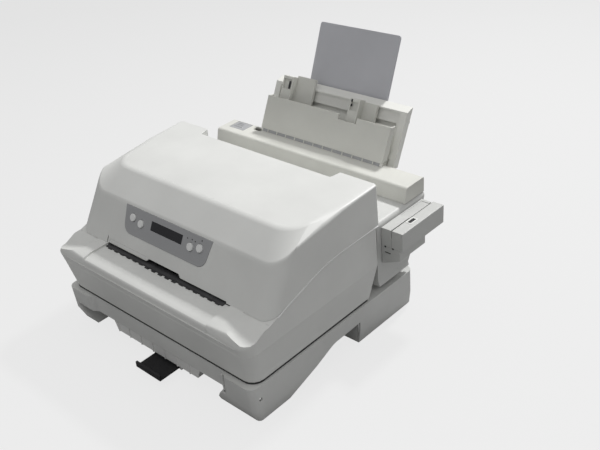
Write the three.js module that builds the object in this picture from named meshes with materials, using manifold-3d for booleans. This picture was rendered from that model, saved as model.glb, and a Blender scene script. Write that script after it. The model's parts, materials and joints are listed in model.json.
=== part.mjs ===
// A counter-top transaction printer on its stand, with a sheet feeder behind and a card reader at its side.
// Lengths are in millimetres. x runs to the right, y to the back and z up.
// In the working frame z is zero on the counter and y is zero at the rear edge of the top cover.
import * as THREE from "three";
import { mergeVertices } from "three/addons/utils/BufferGeometryUtils.js";
import Module from "manifold-3d";

const wasm = await Module();
wasm.setup();

// Shared sizes
const wall = 2.5;
const seat = 0.3;
const runningGap = 0.6;
const overrun = 6;
const weldTolerance = 0.001;
const arcSteps = 4;
const roundSides = 14;
const smallSides = 12;

// Top cover
const coverBaseHalf = 196.5;
const coverTopZ = 234;
const coverFall = 4;
const creaseY = -150;
const creaseInset = 18.5;
const creaseHalf = coverBaseHalf - creaseInset;
const creaseRadius = 36;
const coverRearInset = 7;
const coverRearHalf = coverBaseHalf - coverRearInset;
const shoulderY = -189;
const shoulderZ = 201;
const shoulderInset = 4;
const shoulderHalf = coverBaseHalf - shoulderInset;
const shoulderRadius = 31;
const sideShoulderFront = 220.5;
const sideShoulderMid = 231;
const sideShoulderRear = 233;
const coverFrontY = -221;
const coverFrontZ = 140.5;
const coverBaseRadius = 27;
const rearRadius = 5;
const rimZ = 174;
const notchHalf = 127;
const notchDepth = 17;
const notchSlant = 5;

// Cover hinge
const hingeY = -4;
const hingeZ = 180;
const hingeInset = 16.5;
const hingeX = coverBaseHalf - hingeInset;
const hingePinRadius = 2;
const hingePinClearance = 0.35;
const hingePinLength = 16;
const hingeEarWidth = 4.5;
const hingeEarRadius = 4.6;

// Paper slot, table and lower case
const tableHalf = 128;
const slotLeftInset = 1;
const slotLeft = slotLeftInset - tableHalf;
const slotRightInset = 9;
const slotRight = tableHalf - slotRightInset;
const slotHeight = 4.6;
const slotNotchLeft = -37;
const slotNotchRight = 26;
const slotNotchHeight = 3;
const tableZ = 138.6;
const bolsterRise = 2.6;
const crestY = -252;
const noseY = -266;
const noseZ = 125;
const cornerDropZ = 132;
const cornerDropWidth = 50.5;
const cornerDropInner = coverBaseHalf - cornerDropWidth;
const seamZ = 116;
const seamProud = 0.5;
const seamHalf = coverBaseHalf + seamProud;
const seamRadius = 18;
const caseBottomZ = 64;
const caseBottomInset = 5.5;
const caseBottomHalf = seamHalf - caseBottomInset;
const caseBottomFront = -255;
const caseBottomRear = -20;
const caseRearY = -6;
const floorThickness = 3;
const ledgeDepth = 10;
const ledgeZ = 171.3;

// Control panel on the cover's front face, measured down the slope from the shoulder
const panelLeft = -105;
const panelRight = 73;
const panelTopDrop = 1.6;
const panelDrop = 41;
const panelTaper = 6;
const panelRadius = 15;
const panelThickness = 2.4;
const panelProud = 0.5;
const displayLeft = -46.5;
const displayRight = 18;
const displayTop = 9.9;
const displayBottom = 23.4;
const displayThickness = 1.8;
const keyRadius = 6;
const keyHeight = 4.4;
const keyProud = 1.5;
const keyCentres = [
  [-85.5, 16.6],
  [-67.2, 20.6],
  [35.4, 20.6],
  [53.1, 17],
];

// Stand
const standTopZ = 62;
const standTopInset = 1.5;
const standTopHalf = coverBaseHalf - standTopInset;
const standMiddleInset = 1;
const standMiddleHalf = standTopHalf - standMiddleInset;
const standFootInset = 5;
const standFootHalf = standTopHalf - standFootInset;
const standFrontTop = -264;
const standFrontMiddle = -260.5;
const standFrontFoot = -251;
const standMiddleZ = 23;
const standRear = 77;
const standRadius = 12;
const standFootRadius = 6;
const standWall = 3;
const standDeck = 3.5;
const railInset = 40;
const railHalf = standFootHalf - railInset;
const railRecess = 8;
const railThickness = 3.4;
const railLowerZ = 35;
const archFrontY = -199;
const archRearY = -48;
const archTopZ = 39;
const archKneeShare = 0.62;
const archToeShare = 0.22;
const leftFootInner = -154;
const leftRailEnd = -181;
const rightFootInner = 118;
const rightRailEnd = 137;
const footLip = 8;
const rearFootWidth = 31;
const rearOpeningZ = 40;
const padRadius = 7;
const padHeight = 3;
const padProud = 1;

// Document tray and slide under the front rail
const trayLeft = -111;
const trayRight = 88;
const trayTaper = 12;
const trayFrontY = -252;
const trayRearY = -120;
const trayTopZ = 43.5;
const trayBottomZ = 14;
const trayRibPitch = 26;
const trayRibWidth = 1.6;
const slideLeft = -17;
const slideRight = 35;
const slideZ = 9;
const slideThickness = 2.2;
const slideFrontY = -286;
const slideLipHeight = 9;
const slideLipDepth = 3.6;

// Rear case, beam and feeder
const rearInset = 6;
const rearHalf = coverBaseHalf - rearInset;
const rearFrontY = -1;
const deckZ = 171;
const deckRearY = 112;
const rearBottomZ = 71;
const rearBottomY = 68;
const rearCornerRadius = 6;
const skirtRise = 9;
const skirtProud = 2.6;
const beamInset = 2.5;
const beamHalf = rearHalf - beamInset;
const beamFrontY = 66;
const beamFrontLean = 5;
const beamTopZ = 194;
const beamRadius = 5;
const labelLeft = -176;
const labelWidth = 33;
const labelDepth = 24;
const labelSink = 0.8;
const beamHoleLeft = -133;
const beamHoleWidth = 16;
const beamHoleDepth = 11;
const hopperCentre = 1;
const hopperLean = 26;
const hopperFootY = 102;
const plateHalf = 120.3;
const plateBottom = 5;
const plateTop = 58.8;
const plateThickness = 2.6;
const plateReturn = 11;
const plateReturnRise = 2.5;
const plateNotchLeft = 25;
const plateNotchRight = 59;
const plateNotchDepth = 8.5;
const frameHalf = 127.6;
const frameWall = 2.5;
const cheekWidth = 11;
const cheekFoot = -1;
const cheekFootRise = 4;
const bedDepth = 21;
const bedRecess = 3;
const frameRear = 32;
const bedTop = 83.5;
const frameTop = 93;
const bedRim = 2;
const bedCornerRadius = 5;
const housingHalf = 108;
const shelfMargin = 7;
const shelfHalf = housingHalf + shelfMargin;
const housingRear = 45;
const housingTop = 30;
const bearingFoot = 6;
const ribStripDepth = 3;
const ribPitch = 19;
const ribWidth = 1.6;
const guideSlotZ = 62;
const guideSlotHalf = 112;
const guideSlotHeight = 6;
const guideNeckLength = 16;
const guideHeadMargin = 2.5;
const guideHeadThickness = 1.6;
const guideFoot = 30;
const guideFront = 7;
const guideWingThickness = 2.4;
const leftGuide = { x: -102.6, bodyWidth: 20.6, bodyTop: 95.5, wingWidth: 38, wingTop: 98.5 };
const rightGuide = { x: 34, bodyWidth: 18.5, bodyTop: 86, wingWidth: 26, wingTop: 84 };
const boardLean = 22;
const boardHalf = 75.7;
const boardShift = 4.7;
const boardFootHeight = 62;
const boardFootDepth = 36.7;
const boardLength = 126.5;
const boardThickness = 2.4;
const boardRadius = 4;
const boardTravel = 28;
const holderTop = 89;
const holderWidth = 9;
const holderLip = 3;
const pickupHeight = 12;
const pickupRadius = 9;
const pickupProud = 1;
const pickupShaftRadius = 3;
const knobRadius = 6.8;
const knobLength = 5;
const knobHeight = 70;
const knobGrooveWidth = 1.6;

// Card reader
const readerStandOff = 0.5;
const readerInner = rearHalf + readerStandOff;
const readerInnerWidth = 16.6;
const readerSlotX = readerInner + readerInnerWidth;
const readerSlotWidth = 1.8;
const readerWidth = 34.5;
const readerOuter = readerInner + readerWidth;
const readerFrontY = 8;
const readerRearY = 105;
const readerTopZ = 164;
const readerBottomZ = 136;
const readerSlotDepth = 12;
const readerWindowY = 38;
const readerWindowLength = 14;
const readerWindowWidth = 6;
const bracketBottomZ = 119;
const bracketSlope = 13;
const bracketDepth = 60;

// Chassis and paper path
const chassisClearance = 26.5;
const chassisHalf = coverBaseHalf - chassisClearance;
const chassisSheet = 2;
const chassisFrontY = -208;
const chassisRearY = -24;
const chassisBaseZ = 72;
const chassisFlange = 10;
const chassisTopZ = 176;
const paperZ = 138.6;
const bedSheet = 1;
const bedFrontY = -210;
const bedRearY = -22;
const bedClearance = 4;
const bedHalf = chassisHalf - bedClearance;
const windowInset = 21;
const windowHalf = bedHalf - windowInset;
const windowMargin = 2.5;
const platenY = -105;
const platenWidth = 24;
const platenHeight = 7;
const rollerRadius = 8.2;
const rollerNip = 0.6;
const rollerShaftRadius = 3.6;
const rollerLength = 20;
const rollerPlaces = [-115, -45, 45, 115];
const frontRollerY = -165;
const rearRollerY = -60;
const shaftClearance = 0.4;
const gearWidth = 6;
const gearTeeth = 36;
const pinionTeeth = 16;
const pinionDrop = 30;
const motorRadius = 19;
const motorLength = 34;
const motorShaftRadius = 3;

// Carriage
const carriageShaftY = -80;
const carriageShaftZ = 168;
const carriageShaftRadius = 5;
const carriageX = -100;
const carriageWidth = 42;
const carriageBottomZ = 158;
const carriageTopZ = 174.5;
const carriageFrontY = -126;
const carriageRearY = -66;
const headNoseZ = 141.4;
const headNoseRadius = 7;
const headBodyRadius = 14;
const headTopZ = 190;
const headFinRadius = 17;
const headFins = 3;
const bridgeZ = 180;
const bridgeSheet = 1.6;
const bridgeFrontY = -172;
const bridgeRearY = -131;
const bridgeFlange = 8;
const pulleyY = -152;
const pulleyInset = 20;
const pulleyX = chassisHalf - pulleyInset;
const pulleyRadius = 8;
const beltThickness = 1.4;
const beltHeight = 5;
const carriageMotorRadius = 14;
const carriageMotorHeight = 21;
const cassetteFrontY = -57;
const cassetteRearY = -22;
const cassetteTopZ = 196;
const cassetteArmY = -112;
const cassetteArmWidth = 9;

// Electronics and rear sockets
const boardFrontY = -204;
const boardRearY = -142;
const boardInset = 50;
const boardHalfX = chassisHalf - boardInset;
const boardSheet = 1.6;
const boardStand = 6;
const supplyLeft = -70;
const supplyInset = 30;
const supplyRight = chassisHalf - supplyInset;
const supplyFrontY = -80;
const supplyRearY = -24;
const supplyTopZ = 116;
const inletX = 120;
const inletZ = 110;
const inletWidth = 27;
const inletHeight = 20;
const switchX = 85;
const switchWidth = 14;
const switchHeight = 20;
const switchTilt = 9;
const socketX = -110;
const socketWidth = 40;
const socketHeight = 13;

const machine = new THREE.Group();

const finishes = {
  caseWhite: new THREE.MeshStandardMaterial({ color: 0xdcddd9, roughness: 0.55, metalness: 0 }),
  standGrey: new THREE.MeshStandardMaterial({ color: 0xb9b9b5, roughness: 0.6, metalness: 0 }),
  feederCream: new THREE.MeshStandardMaterial({ color: 0xd6d5cb, roughness: 0.55, metalness: 0 }),
  panelGrey: new THREE.MeshStandardMaterial({ color: 0x7b7c7e, roughness: 0.5, metalness: 0 }),
  boardGrey: new THREE.MeshStandardMaterial({ color: 0x8c8e93, roughness: 0.5, metalness: 0 }),
  black: new THREE.MeshStandardMaterial({ color: 0x1b1c20, roughness: 0.7, metalness: 0 }),
  display: new THREE.MeshStandardMaterial({ color: 0x22242a, roughness: 0.15, metalness: 0 }),
  keyWhite: new THREE.MeshStandardMaterial({ color: 0xc9cac8, roughness: 0.5, metalness: 0 }),
  steel: new THREE.MeshStandardMaterial({ color: 0xa7a9ab, roughness: 0.35, metalness: 1 }),
  rubber: new THREE.MeshStandardMaterial({ color: 0x2a2a2c, roughness: 0.9, metalness: 0 }),
  gear: new THREE.MeshStandardMaterial({ color: 0xe6e2d2, roughness: 0.6, metalness: 0 }),
  circuit: new THREE.MeshStandardMaterial({ color: 0x2f6a46, roughness: 0.6, metalness: 0 }),
};

// Turns a closed geometry into a solid that can be joined and cut.
function solidOf(geometry) {
  const bare = geometry.index ? geometry.toNonIndexed() : geometry.clone();
  bare.deleteAttribute("normal");
  bare.deleteAttribute("uv");
  const merged = mergeVertices(bare, weldTolerance);
  return new wasm.Manifold(
    new wasm.Mesh({
      numProp: 3,
      vertProperties: new Float32Array(merged.attributes.position.array),
      triVerts: new Uint32Array(merged.index.array),
    }),
  );
}

// Puts a finished solid into the machine as a named mesh.
function add(name, solid, finish) {
  const mesh = solid.getMesh();
  const geometry = new THREE.BufferGeometry();
  geometry.setAttribute("position", new THREE.BufferAttribute(new Float32Array(mesh.vertProperties), 3));
  geometry.setIndex(new THREE.BufferAttribute(new Uint32Array(mesh.triVerts), 1));
  geometry.computeVertexNormals();
  const piece = new THREE.Mesh(geometry, finish);
  piece.name = name;
  machine.add(piece);
}

// Two numbers, the smaller first.
function sorted(a, b) {
  return [Math.min(a, b), Math.max(a, b)];
}

function join(...solids) {
  return solids.reduce((whole, next) => whole.add(next));
}

function cut(solid, ...cutters) {
  return cutters.reduce((left, cutter) => left.subtract(cutter), solid);
}

function block([x0, x1], [y0, y1], [z0, z1]) {
  const geometry = new THREE.BoxGeometry(x1 - x0, y1 - y0, z1 - z0);
  geometry.translate((x0 + x1) / 2, (y0 + y1) / 2, (z0 + z1) / 2);
  return solidOf(geometry);
}

// Rounds the corners of an outline. A point is [a, b] or [a, b, radius].
function rounded(points, steps = arcSteps) {
  const outline = [];
  points.forEach(([a, b, radius = 0], i) => {
    const here = new THREE.Vector2(a, b);
    if (radius === 0) {
      outline.push(here);
      return;
    }
    const previous = points.at(i - 1);
    const next = points[(i + 1) % points.length];
    const toPrevious = new THREE.Vector2(previous[0], previous[1]).sub(here).normalize();
    const toNext = new THREE.Vector2(next[0], next[1]).sub(here).normalize();
    const half = Math.acos(THREE.MathUtils.clamp(toPrevious.dot(toNext), -1, 1)) / 2;
    const middle = toPrevious.clone().add(toNext).normalize();
    const centre = here.clone().addScaledVector(middle, radius / Math.sin(half));
    const start = here.clone().addScaledVector(toPrevious, radius / Math.tan(half)).sub(centre);
    const end = here.clone().addScaledVector(toNext, radius / Math.tan(half)).sub(centre);
    const turn = Math.atan2(start.cross(end), start.dot(end));
    for (let k = 0; k <= steps; k += 1) {
      outline.push(start.clone().rotateAround(new THREE.Vector2(), (turn * k) / steps).add(centre));
    }
  });
  return outline;
}

// Extrudes an outline along an axis. It is drawn in (y, z) along x, in (x, z) along y and in (x, y) along z.
function prism(axis, outline, [from, to]) {
  const points = outline.map((p) => (p.isVector2 ? p : new THREE.Vector2(p[0], p[1])));
  const shape = new THREE.Shape(points);
  const geometry = new THREE.ExtrudeGeometry(shape, { depth: to - from, bevelEnabled: false });
  const basis = new THREE.Matrix4();
  if (axis === "x") {
    geometry.translate(0, 0, from);
    basis.makeBasis(new THREE.Vector3(0, 1, 0), new THREE.Vector3(0, 0, 1), new THREE.Vector3(1, 0, 0));
  } else if (axis === "y") {
    geometry.translate(0, 0, -to);
    basis.makeBasis(new THREE.Vector3(1, 0, 0), new THREE.Vector3(0, 0, 1), new THREE.Vector3(0, -1, 0));
  } else {
    geometry.translate(0, 0, from);
  }
  geometry.applyMatrix4(basis);
  return solidOf(geometry);
}

// A round bar along an axis through (a, b): (y, z) along x, (x, z) along y and (x, y) along z.
function bar(axis, [a, b], radius, [from, to], sides = roundSides) {
  const geometry = new THREE.CylinderGeometry(radius, radius, to - from, sides);
  const middle = (from + to) / 2;
  if (axis === "x") {
    geometry.rotateZ(-Math.PI / 2);
    geometry.translate(middle, a, b);
  } else if (axis === "y") {
    geometry.translate(a, middle, b);
  } else {
    geometry.rotateX(Math.PI / 2);
    geometry.translate(a, b, middle);
  }
  return solidOf(geometry);
}

// Skins a stack of closed rings that hold the same number of points, from the lowest ring to the highest.
// Each end is closed by a fan from the middle of its ring.
function loft(rings) {
  const count = rings[0].length;
  const ends = [rings[0], rings.at(-1)].map((ring) =>
    ring.reduce((sum, p) => sum.add(p), new THREE.Vector3()).divideScalar(count),
  );
  const positions = [...rings.flat(), ...ends].flatMap((p) => [p.x, p.y, p.z]);
  const faces = [];
  for (let level = 0; level + 1 < rings.length; level += 1) {
    for (let i = 0; i < count; i += 1) {
      const a = level * count + i;
      const b = level * count + ((i + 1) % count);
      faces.push(a, b, b + count, a, b + count, a + count);
    }
  }
  const last = (rings.length - 1) * count;
  const lowMiddle = rings.length * count;
  for (let i = 0; i < count; i += 1) {
    const next = (i + 1) % count;
    faces.push(lowMiddle, next, i, lowMiddle + 1, last + i, last + next);
  }
  const geometry = new THREE.BufferGeometry();
  geometry.setAttribute("position", new THREE.Float32BufferAttribute(positions, 3));
  geometry.setIndex(faces);
  return solidOf(geometry);
}

// The plan outline of a moulding with rounded corners and, where asked, more points along its sides.
function plan({ frontHalf, rearHalf, front, rear, frontRadius, backRadius }, stops = []) {
  const halfAt = (y) => THREE.MathUtils.mapLinear(y, front, rear, frontHalf, rearHalf);
  return rounded([
    [-frontHalf, front, frontRadius],
    [frontHalf, front, frontRadius],
    ...stops.map((y) => [halfAt(y), y]),
    [rearHalf, rear, backRadius],
    [-rearHalf, rear, backRadius],
    ...stops.toReversed().map((y) => [-halfAt(y), y]),
  ]);
}

function raise(outline, heightAt) {
  return outline.map((p) => new THREE.Vector3(p.x, p.y, heightAt(p.x, p.y)));
}

// The outside of the top cover, drawn in by an inset for its inside.
const faceSlope = (coverFrontY - shoulderY) / (shoulderZ - coverFrontZ);
const chamferSlope = (coverTopZ - coverFall - shoulderZ) / (creaseY - shoulderY);
const coverStopShares = [0.55, 0.36, 0.18];

function coverForm(inset) {
  const stops = coverStopShares.map((share) => share * shoulderY);
  const baseZ = coverFrontZ - overrun * 2;
  const baseY = shoulderY + (shoulderZ - baseZ) * faceSlope;
  const base = plan(
    {
      frontHalf: coverBaseHalf - inset,
      rearHalf: coverBaseHalf - inset,
      front: baseY + inset,
      rear: -inset,
      frontRadius: coverBaseRadius - inset,
      backRadius: rearRadius - inset,
    },
    stops,
  );
  const shoulder = plan(
    {
      frontHalf: shoulderHalf - inset,
      rearHalf: shoulderHalf - inset,
      front: shoulderY + inset,
      rear: -inset,
      frontRadius: shoulderRadius - inset,
      backRadius: rearRadius - inset,
    },
    stops,
  );
  const crease = plan(
    {
      frontHalf: creaseHalf - inset,
      rearHalf: coverRearHalf - inset,
      front: creaseY + inset / 2,
      rear: -inset,
      frontRadius: creaseRadius - inset,
      backRadius: rearRadius - inset,
    },
    stops,
  );
  const topAt = (y) => coverTopZ + (coverFall * y) / -creaseY;
  const sideAt = (y) =>
    y < stops[1]
      ? THREE.MathUtils.mapLinear(
        y,
        shoulderY + shoulderRadius,
        stops[1],
        sideShoulderFront,
        sideShoulderMid,
      )
      : THREE.MathUtils.mapLinear(y, stops[1], 0, sideShoulderMid, sideShoulderRear);
  const shoulderAt = (x, y) => {
    const onChamfer = shoulderZ + (y - shoulderY) * chamferSlope;
    return Math.min(onChamfer, Math.max(sideShoulderFront, sideAt(y))) - inset;
  };
  return loft([
    raise(base, () => baseZ),
    raise(shoulder, shoulderAt),
    raise(crease, (x, y) => topAt(y) - inset),
  ]);
}

// The line in (y, z) where the cover meets the lower case, from the front to the rear.
const rimShares = [
  [0.836, 0.358],
  [0.745, 0.512],
  [0.655, 0.684],
  [0.565, 0.845],
  [0.465, 0.937],
  [0.375, 0.985],
  [0.285, 1],
];
const rimLine = [
  [coverFrontY, coverFrontZ],
  ...rimShares.map(([along, up]) => [along * coverFrontY, coverFrontZ + up * (rimZ - coverFrontZ)]),
];

const notchOutline = (grow) => [
  [-notchHalf - notchSlant - grow, overrun],
  [-notchHalf - grow, -notchDepth - grow],
  [notchHalf + grow, -notchDepth - grow],
  [notchHalf + notchSlant + grow, overrun],
];

// Places a solid drawn on a flat sheet on the cover's front face: x right, y down the slope, z outwards.
const faceDirection = new THREE.Vector3(0, coverFrontY - shoulderY, coverFrontZ - shoulderZ).normalize();
const faceNormal = new THREE.Vector3(1, 0, 0).cross(faceDirection).negate();

function ontoFace(solid) {
  const matrix = new THREE.Matrix4().makeBasis(
    new THREE.Vector3(1, 0, 0),
    faceDirection.clone().negate(),
    faceNormal,
  );
  matrix.setPosition(0, shoulderY, shoulderZ);
  return solid.transform(matrix.elements);
}

const panelOutline = (grow) =>
  rounded([
    [panelLeft - grow, -panelTopDrop + grow],
    [panelLeft + panelTaper - grow, -panelDrop - grow, panelRadius + grow],
    [panelRight - panelTaper + grow, -panelDrop - grow, panelRadius + grow],
    [panelRight + grow, -panelTopDrop + grow],
  ]);

function buildCover() {
  const rimCut = prism(
    "x",
    [[noseY * 2, coverFrontZ], ...rimLine, [overrun, rimZ], [overrun, 0], [noseY * 2, 0]].toReversed(),
    [-coverBaseHalf - overrun, coverBaseHalf + overrun],
  );
  const openFront = coverFrontZ + slotHeight;
  const slot = block([slotLeft, slotRight], [noseY, coverFrontY + overrun * 2], [0, openFront]);
  const slotNotch = prism(
    "y",
    [
      [slotNotchLeft - slotNotchHeight, openFront - overrun],
      [slotNotchRight + slotNotchHeight, openFront - overrun],
      [slotNotchRight + slotNotchHeight, openFront],
      [slotNotchRight, openFront + slotNotchHeight],
      [slotNotchLeft, openFront + slotNotchHeight],
      [slotNotchLeft - slotNotchHeight, openFront],
    ],
    [noseY, coverFrontY + overrun * 2],
  );
  const notch = prism("z", notchOutline(0), [coverFrontZ, coverTopZ + overrun]);
  const notchInside = prism("z", notchOutline(wall), [coverFrontZ, coverTopZ + overrun]);
  const panelSeat = ontoFace(
    prism("z", panelOutline(seat), [panelProud - panelThickness - seat, overrun * 2]),
  );
  const displayOpening = ontoFace(
    prism(
      "z",
      [
        [displayLeft, -displayTop],
        [displayLeft, -displayBottom],
        [displayRight, -displayBottom],
        [displayRight, -displayTop],
      ],
      [-wall - overrun, 0],
    ),
  );
  const keyHoles = keyCentres.map(([x, down]) =>
    ontoFace(bar("z", [x, -down], keyRadius + runningGap, [-wall - overrun, 0])),
  );
  const panelBack = ontoFace(
    prism("z", panelOutline(wall), [panelProud - panelThickness - seat - wall, -wall / 2]),
  );
  const outside = cut(coverForm(0), notch);
  const inside = cut(coverForm(wall), notchInside);
  let shell = cut(
    join(cut(outside, inside), panelBack.intersect(outside)),
    rimCut,
    slot,
    slotNotch,
    panelSeat,
  );
  shell = cut(shell, displayOpening, ...keyHoles);
  const earInner = hingeX - hingeEarWidth / 2;
  [-1, 1].forEach((side) => {
    const earSpan = [
      side * (earInner + hingeEarWidth + seat * 2),
      side * (earInner + hingeEarWidth * 2 + seat * 2),
    ];
    const ear = join(
      bar("x", [hingeY, hingeZ], hingeEarRadius, earSpan.toSorted((a, b) => a - b), smallSides),
      block(
        earSpan.toSorted((a, b) => a - b),
        [hingeY, -wall / 2],
        [hingeZ - hingeEarRadius / 2, hingeZ + hingeEarRadius],
      ),
    );
    const slotSpan = [side * (earInner - runningGap * 2), side * (earInner + hingeEarWidth + runningGap)];
    const hingeSlot = block(
      slotSpan.toSorted((a, b) => a - b),
      [-hingeEarRadius * 3, overrun],
      [rimZ - overrun, hingeZ + hingeEarRadius * 2],
    );
    const hole = bar(
      "x",
      [hingeY, hingeZ],
      hingePinRadius + hingePinClearance,
      [-coverBaseHalf + wall, coverBaseHalf - wall],
      smallSides,
    );
    shell = cut(join(cut(shell, hingeSlot), ear), hole);
  });
  add("top_cover", shell, finishes.caseWhite);
}

function buildControlPanel() {
  const sheet = prism("z", panelOutline(0), [panelProud - panelThickness, panelProud]);
  const displaySeat = prism(
    "z",
    [
      [displayLeft - wall, -displayTop + wall],
      [displayLeft - wall, -displayBottom - wall],
      [displayRight + wall, -displayBottom - wall],
      [displayRight + wall, -displayTop + wall],
    ],
    [-overrun, panelProud - panelThickness / 2],
  );
  const displayWindow = prism(
    "z",
    [
      [displayLeft, -displayTop],
      [displayLeft, -displayBottom],
      [displayRight, -displayBottom],
      [displayRight, -displayTop],
    ],
    [-overrun, overrun],
  );
  const keyHoles = keyCentres.map(
    ([x, down]) => bar("z", [x, -down], keyRadius + runningGap / 2, [-overrun, overrun]),
  );
  add("control_panel", ontoFace(cut(sheet, displaySeat, displayWindow, ...keyHoles)), finishes.panelGrey);
  const paneTop = panelProud - panelThickness / 2 - seat;
  const pane = prism(
    "z",
    [
      [displayLeft - wall + seat, -displayTop + wall - seat],
      [displayLeft - wall + seat, -displayBottom - wall + seat],
      [displayRight + wall - seat, -displayBottom - wall + seat],
      [displayRight + wall - seat, -displayTop + wall - seat],
    ],
    [panelProud - panelThickness, paneTop],
  );
  const raised = prism(
    "z",
    [
      [displayLeft + seat, -displayTop - seat],
      [displayLeft + seat, -displayBottom + seat],
      [displayRight - seat, -displayBottom + seat],
      [displayRight - seat, -displayTop - seat],
    ],
    [panelProud - displayThickness, panelProud - seat],
  );
  add("display_window", ontoFace(join(pane, raised)), finishes.display);
  keyCentres.forEach(([x, down], i) => {
    const stem = bar(
      "z",
      [x, -down],
      keyRadius - runningGap / 2,
      [keyProud - keyHeight, keyProud + panelProud],
      roundSides,
    );
    const crown = bar(
      "z",
      [x, -down],
      keyRadius - runningGap * 2,
      [keyProud, keyProud + panelProud + runningGap],
      roundSides,
    );
    add("key_" + (i + 1), ontoFace(join(stem, crown)), finishes.keyWhite);
  });
}

// The outside of the lower case up to a height over its rim, drawn in by an inset for its inside.
function caseForm(inset) {
  const bottom = plan({
    frontHalf: caseBottomHalf - inset,
    rearHalf: caseBottomHalf - inset,
    front: caseBottomFront + inset,
    rear: caseBottomRear - inset,
    frontRadius: seamRadius - inset,
    backRadius: rearRadius - inset,
  });
  const seam = plan({
    frontHalf: seamHalf - inset,
    rearHalf: seamHalf - inset,
    front: noseY + inset,
    rear: caseRearY - inset,
    frontRadius: seamRadius - inset,
    backRadius: rearRadius - inset,
  });
  const topHalf =
    coverBaseHalf - (rimZ - coverFrontZ) * ((coverBaseHalf - shoulderHalf) / (shoulderZ - coverFrontZ));
  const top = plan({
    frontHalf: topHalf - inset,
    rearHalf: topHalf - inset,
    front: noseY + inset,
    rear: caseRearY - inset,
    frontRadius: seamRadius - inset,
    backRadius: rearRadius - inset,
  });
  const lift = inset === 0 ? 0 : floorThickness;
  return loft([
    raise(bottom, () => caseBottomZ + lift),
    raise(seam, () => seamZ),
    raise(top, () => rimZ + overrun),
  ]);
}

// What lies over the lower case, in (y, z): the crest of the front table, the table and the rim.
function overCase(down, lower) {
  const roundNose = rounded([
    [noseY * 2, noseZ - lower],
    [noseY, noseZ - lower, bolsterRise],
    [
      noseY + (crestY - noseY) / 4,
      tableZ + bolsterRise - down - (tableZ - noseZ) / 4 - lower,
      bolsterRise * 2,
    ],
    [crestY, tableZ + bolsterRise - down - lower, bolsterRise * 4],
    [coverFrontY, tableZ + bolsterRise - down - lower],
  ]);
  return [
    ...roundNose,
    [coverFrontY, coverFrontZ - runningGap - lower],
    ...rimLine.slice(1).map(([y, z]) => [y, z - runningGap - lower]),
    [caseRearY * 2, rimZ - runningGap - lower],
    [caseRearY * 2, ledgeZ - lower],
    [overrun, ledgeZ - lower],
    [overrun, coverTopZ],
    [noseY * 2, coverTopZ],
  ];
}

function buildLowerCase() {
  const full = [-seamHalf - overrun, seamHalf + overrun];
  const aboveBolsters = prism("x", overCase(0, 0), full);
  const aboveTable = prism("x", overCase(bolsterRise, 0), [-tableHalf, tableHalf]);
  const aboveInside = prism("x", overCase(bolsterRise, floorThickness), full);
  const cornerCuts = [-1, 1].map((side) =>
    prism(
      "y",
      [
        [side * cornerDropInner, tableZ + bolsterRise * 2],
        [side * cornerDropInner, tableZ + bolsterRise],
        [side * (seamHalf + overrun), cornerDropZ - overrun / 2],
        [side * (seamHalf + overrun), tableZ + bolsterRise * 2],
      ],
      [noseY - overrun, coverFrontY],
    ),
  );
  let outside = cut(caseForm(0), aboveBolsters, aboveTable);
  const frontZone = block(full, [noseY - overrun, coverFrontY], [0, coverTopZ]);
  outside = cut(outside, ...cornerCuts.map((c) => c.intersect(frontZone)));
  const hollow = caseForm(wall);
  const frontHollow = cut(hollow, aboveInside).intersect(
    block(full, [noseY, coverFrontY], [caseBottomZ, coverTopZ]),
  );
  const loweredFront = cut(
    frontHollow,
    block(full, [noseY, coverFrontY + overrun], [cornerDropZ - floorThickness * 2, coverTopZ]),
  );
  const rearHollow = hollow.intersect(
    block(full, [coverFrontY - seat, overrun], [caseBottomZ, coverTopZ]),
  );
  const cornerShelf = cut(
    outside.intersect(block(full, [coverFrontY - overrun, shoulderY], [cornerDropZ, coverTopZ])),
    coverForm(wall * 2),
    block([-tableHalf, tableHalf], [coverFrontY, shoulderY], [cornerDropZ - overrun, coverTopZ]),
  );
  let shell = join(cut(outside, loweredFront, rearHollow), cornerShelf);
  const ledge = block(
    [-notchHalf, notchHalf],
    [caseRearY - ledgeDepth, caseRearY - wall / 2],
    [ledgeZ - wall, ledgeZ],
  );
  const bosses = [-1, 1].flatMap((side) =>
    [chassisFrontY + chassisFlange * 2, chassisRearY - chassisFlange * 2].map((y) =>
      bar(
        "z",
        [side * (chassisHalf - chassisFlange * 2), y],
        chassisFlange / 2,
        [caseBottomZ + floorThickness / 2, chassisBaseZ - seat],
        smallSides,
      ),
    ),
  );
  const ears = [-1, 1].map((side) => {
    const span = sorted(side * (hingeX - hingeEarWidth / 2), side * (hingeX + hingeEarWidth / 2));
    return cut(
      join(
        bar("x", [hingeY, hingeZ], hingeEarRadius, span, smallSides),
        block(span, [hingeY - hingeEarRadius, caseRearY], [ledgeZ - overrun, hingeZ]),
      ),
      bar(
        "x",
        [hingeY, hingeZ],
        hingePinRadius + seat,
        [span[0] - overrun, span[1] + overrun],
        smallSides,
      ),
    );
  });
  shell = join(shell, ledge, ...bosses, ...ears);
  add("lower_case", shell, finishes.caseWhite);
}

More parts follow.
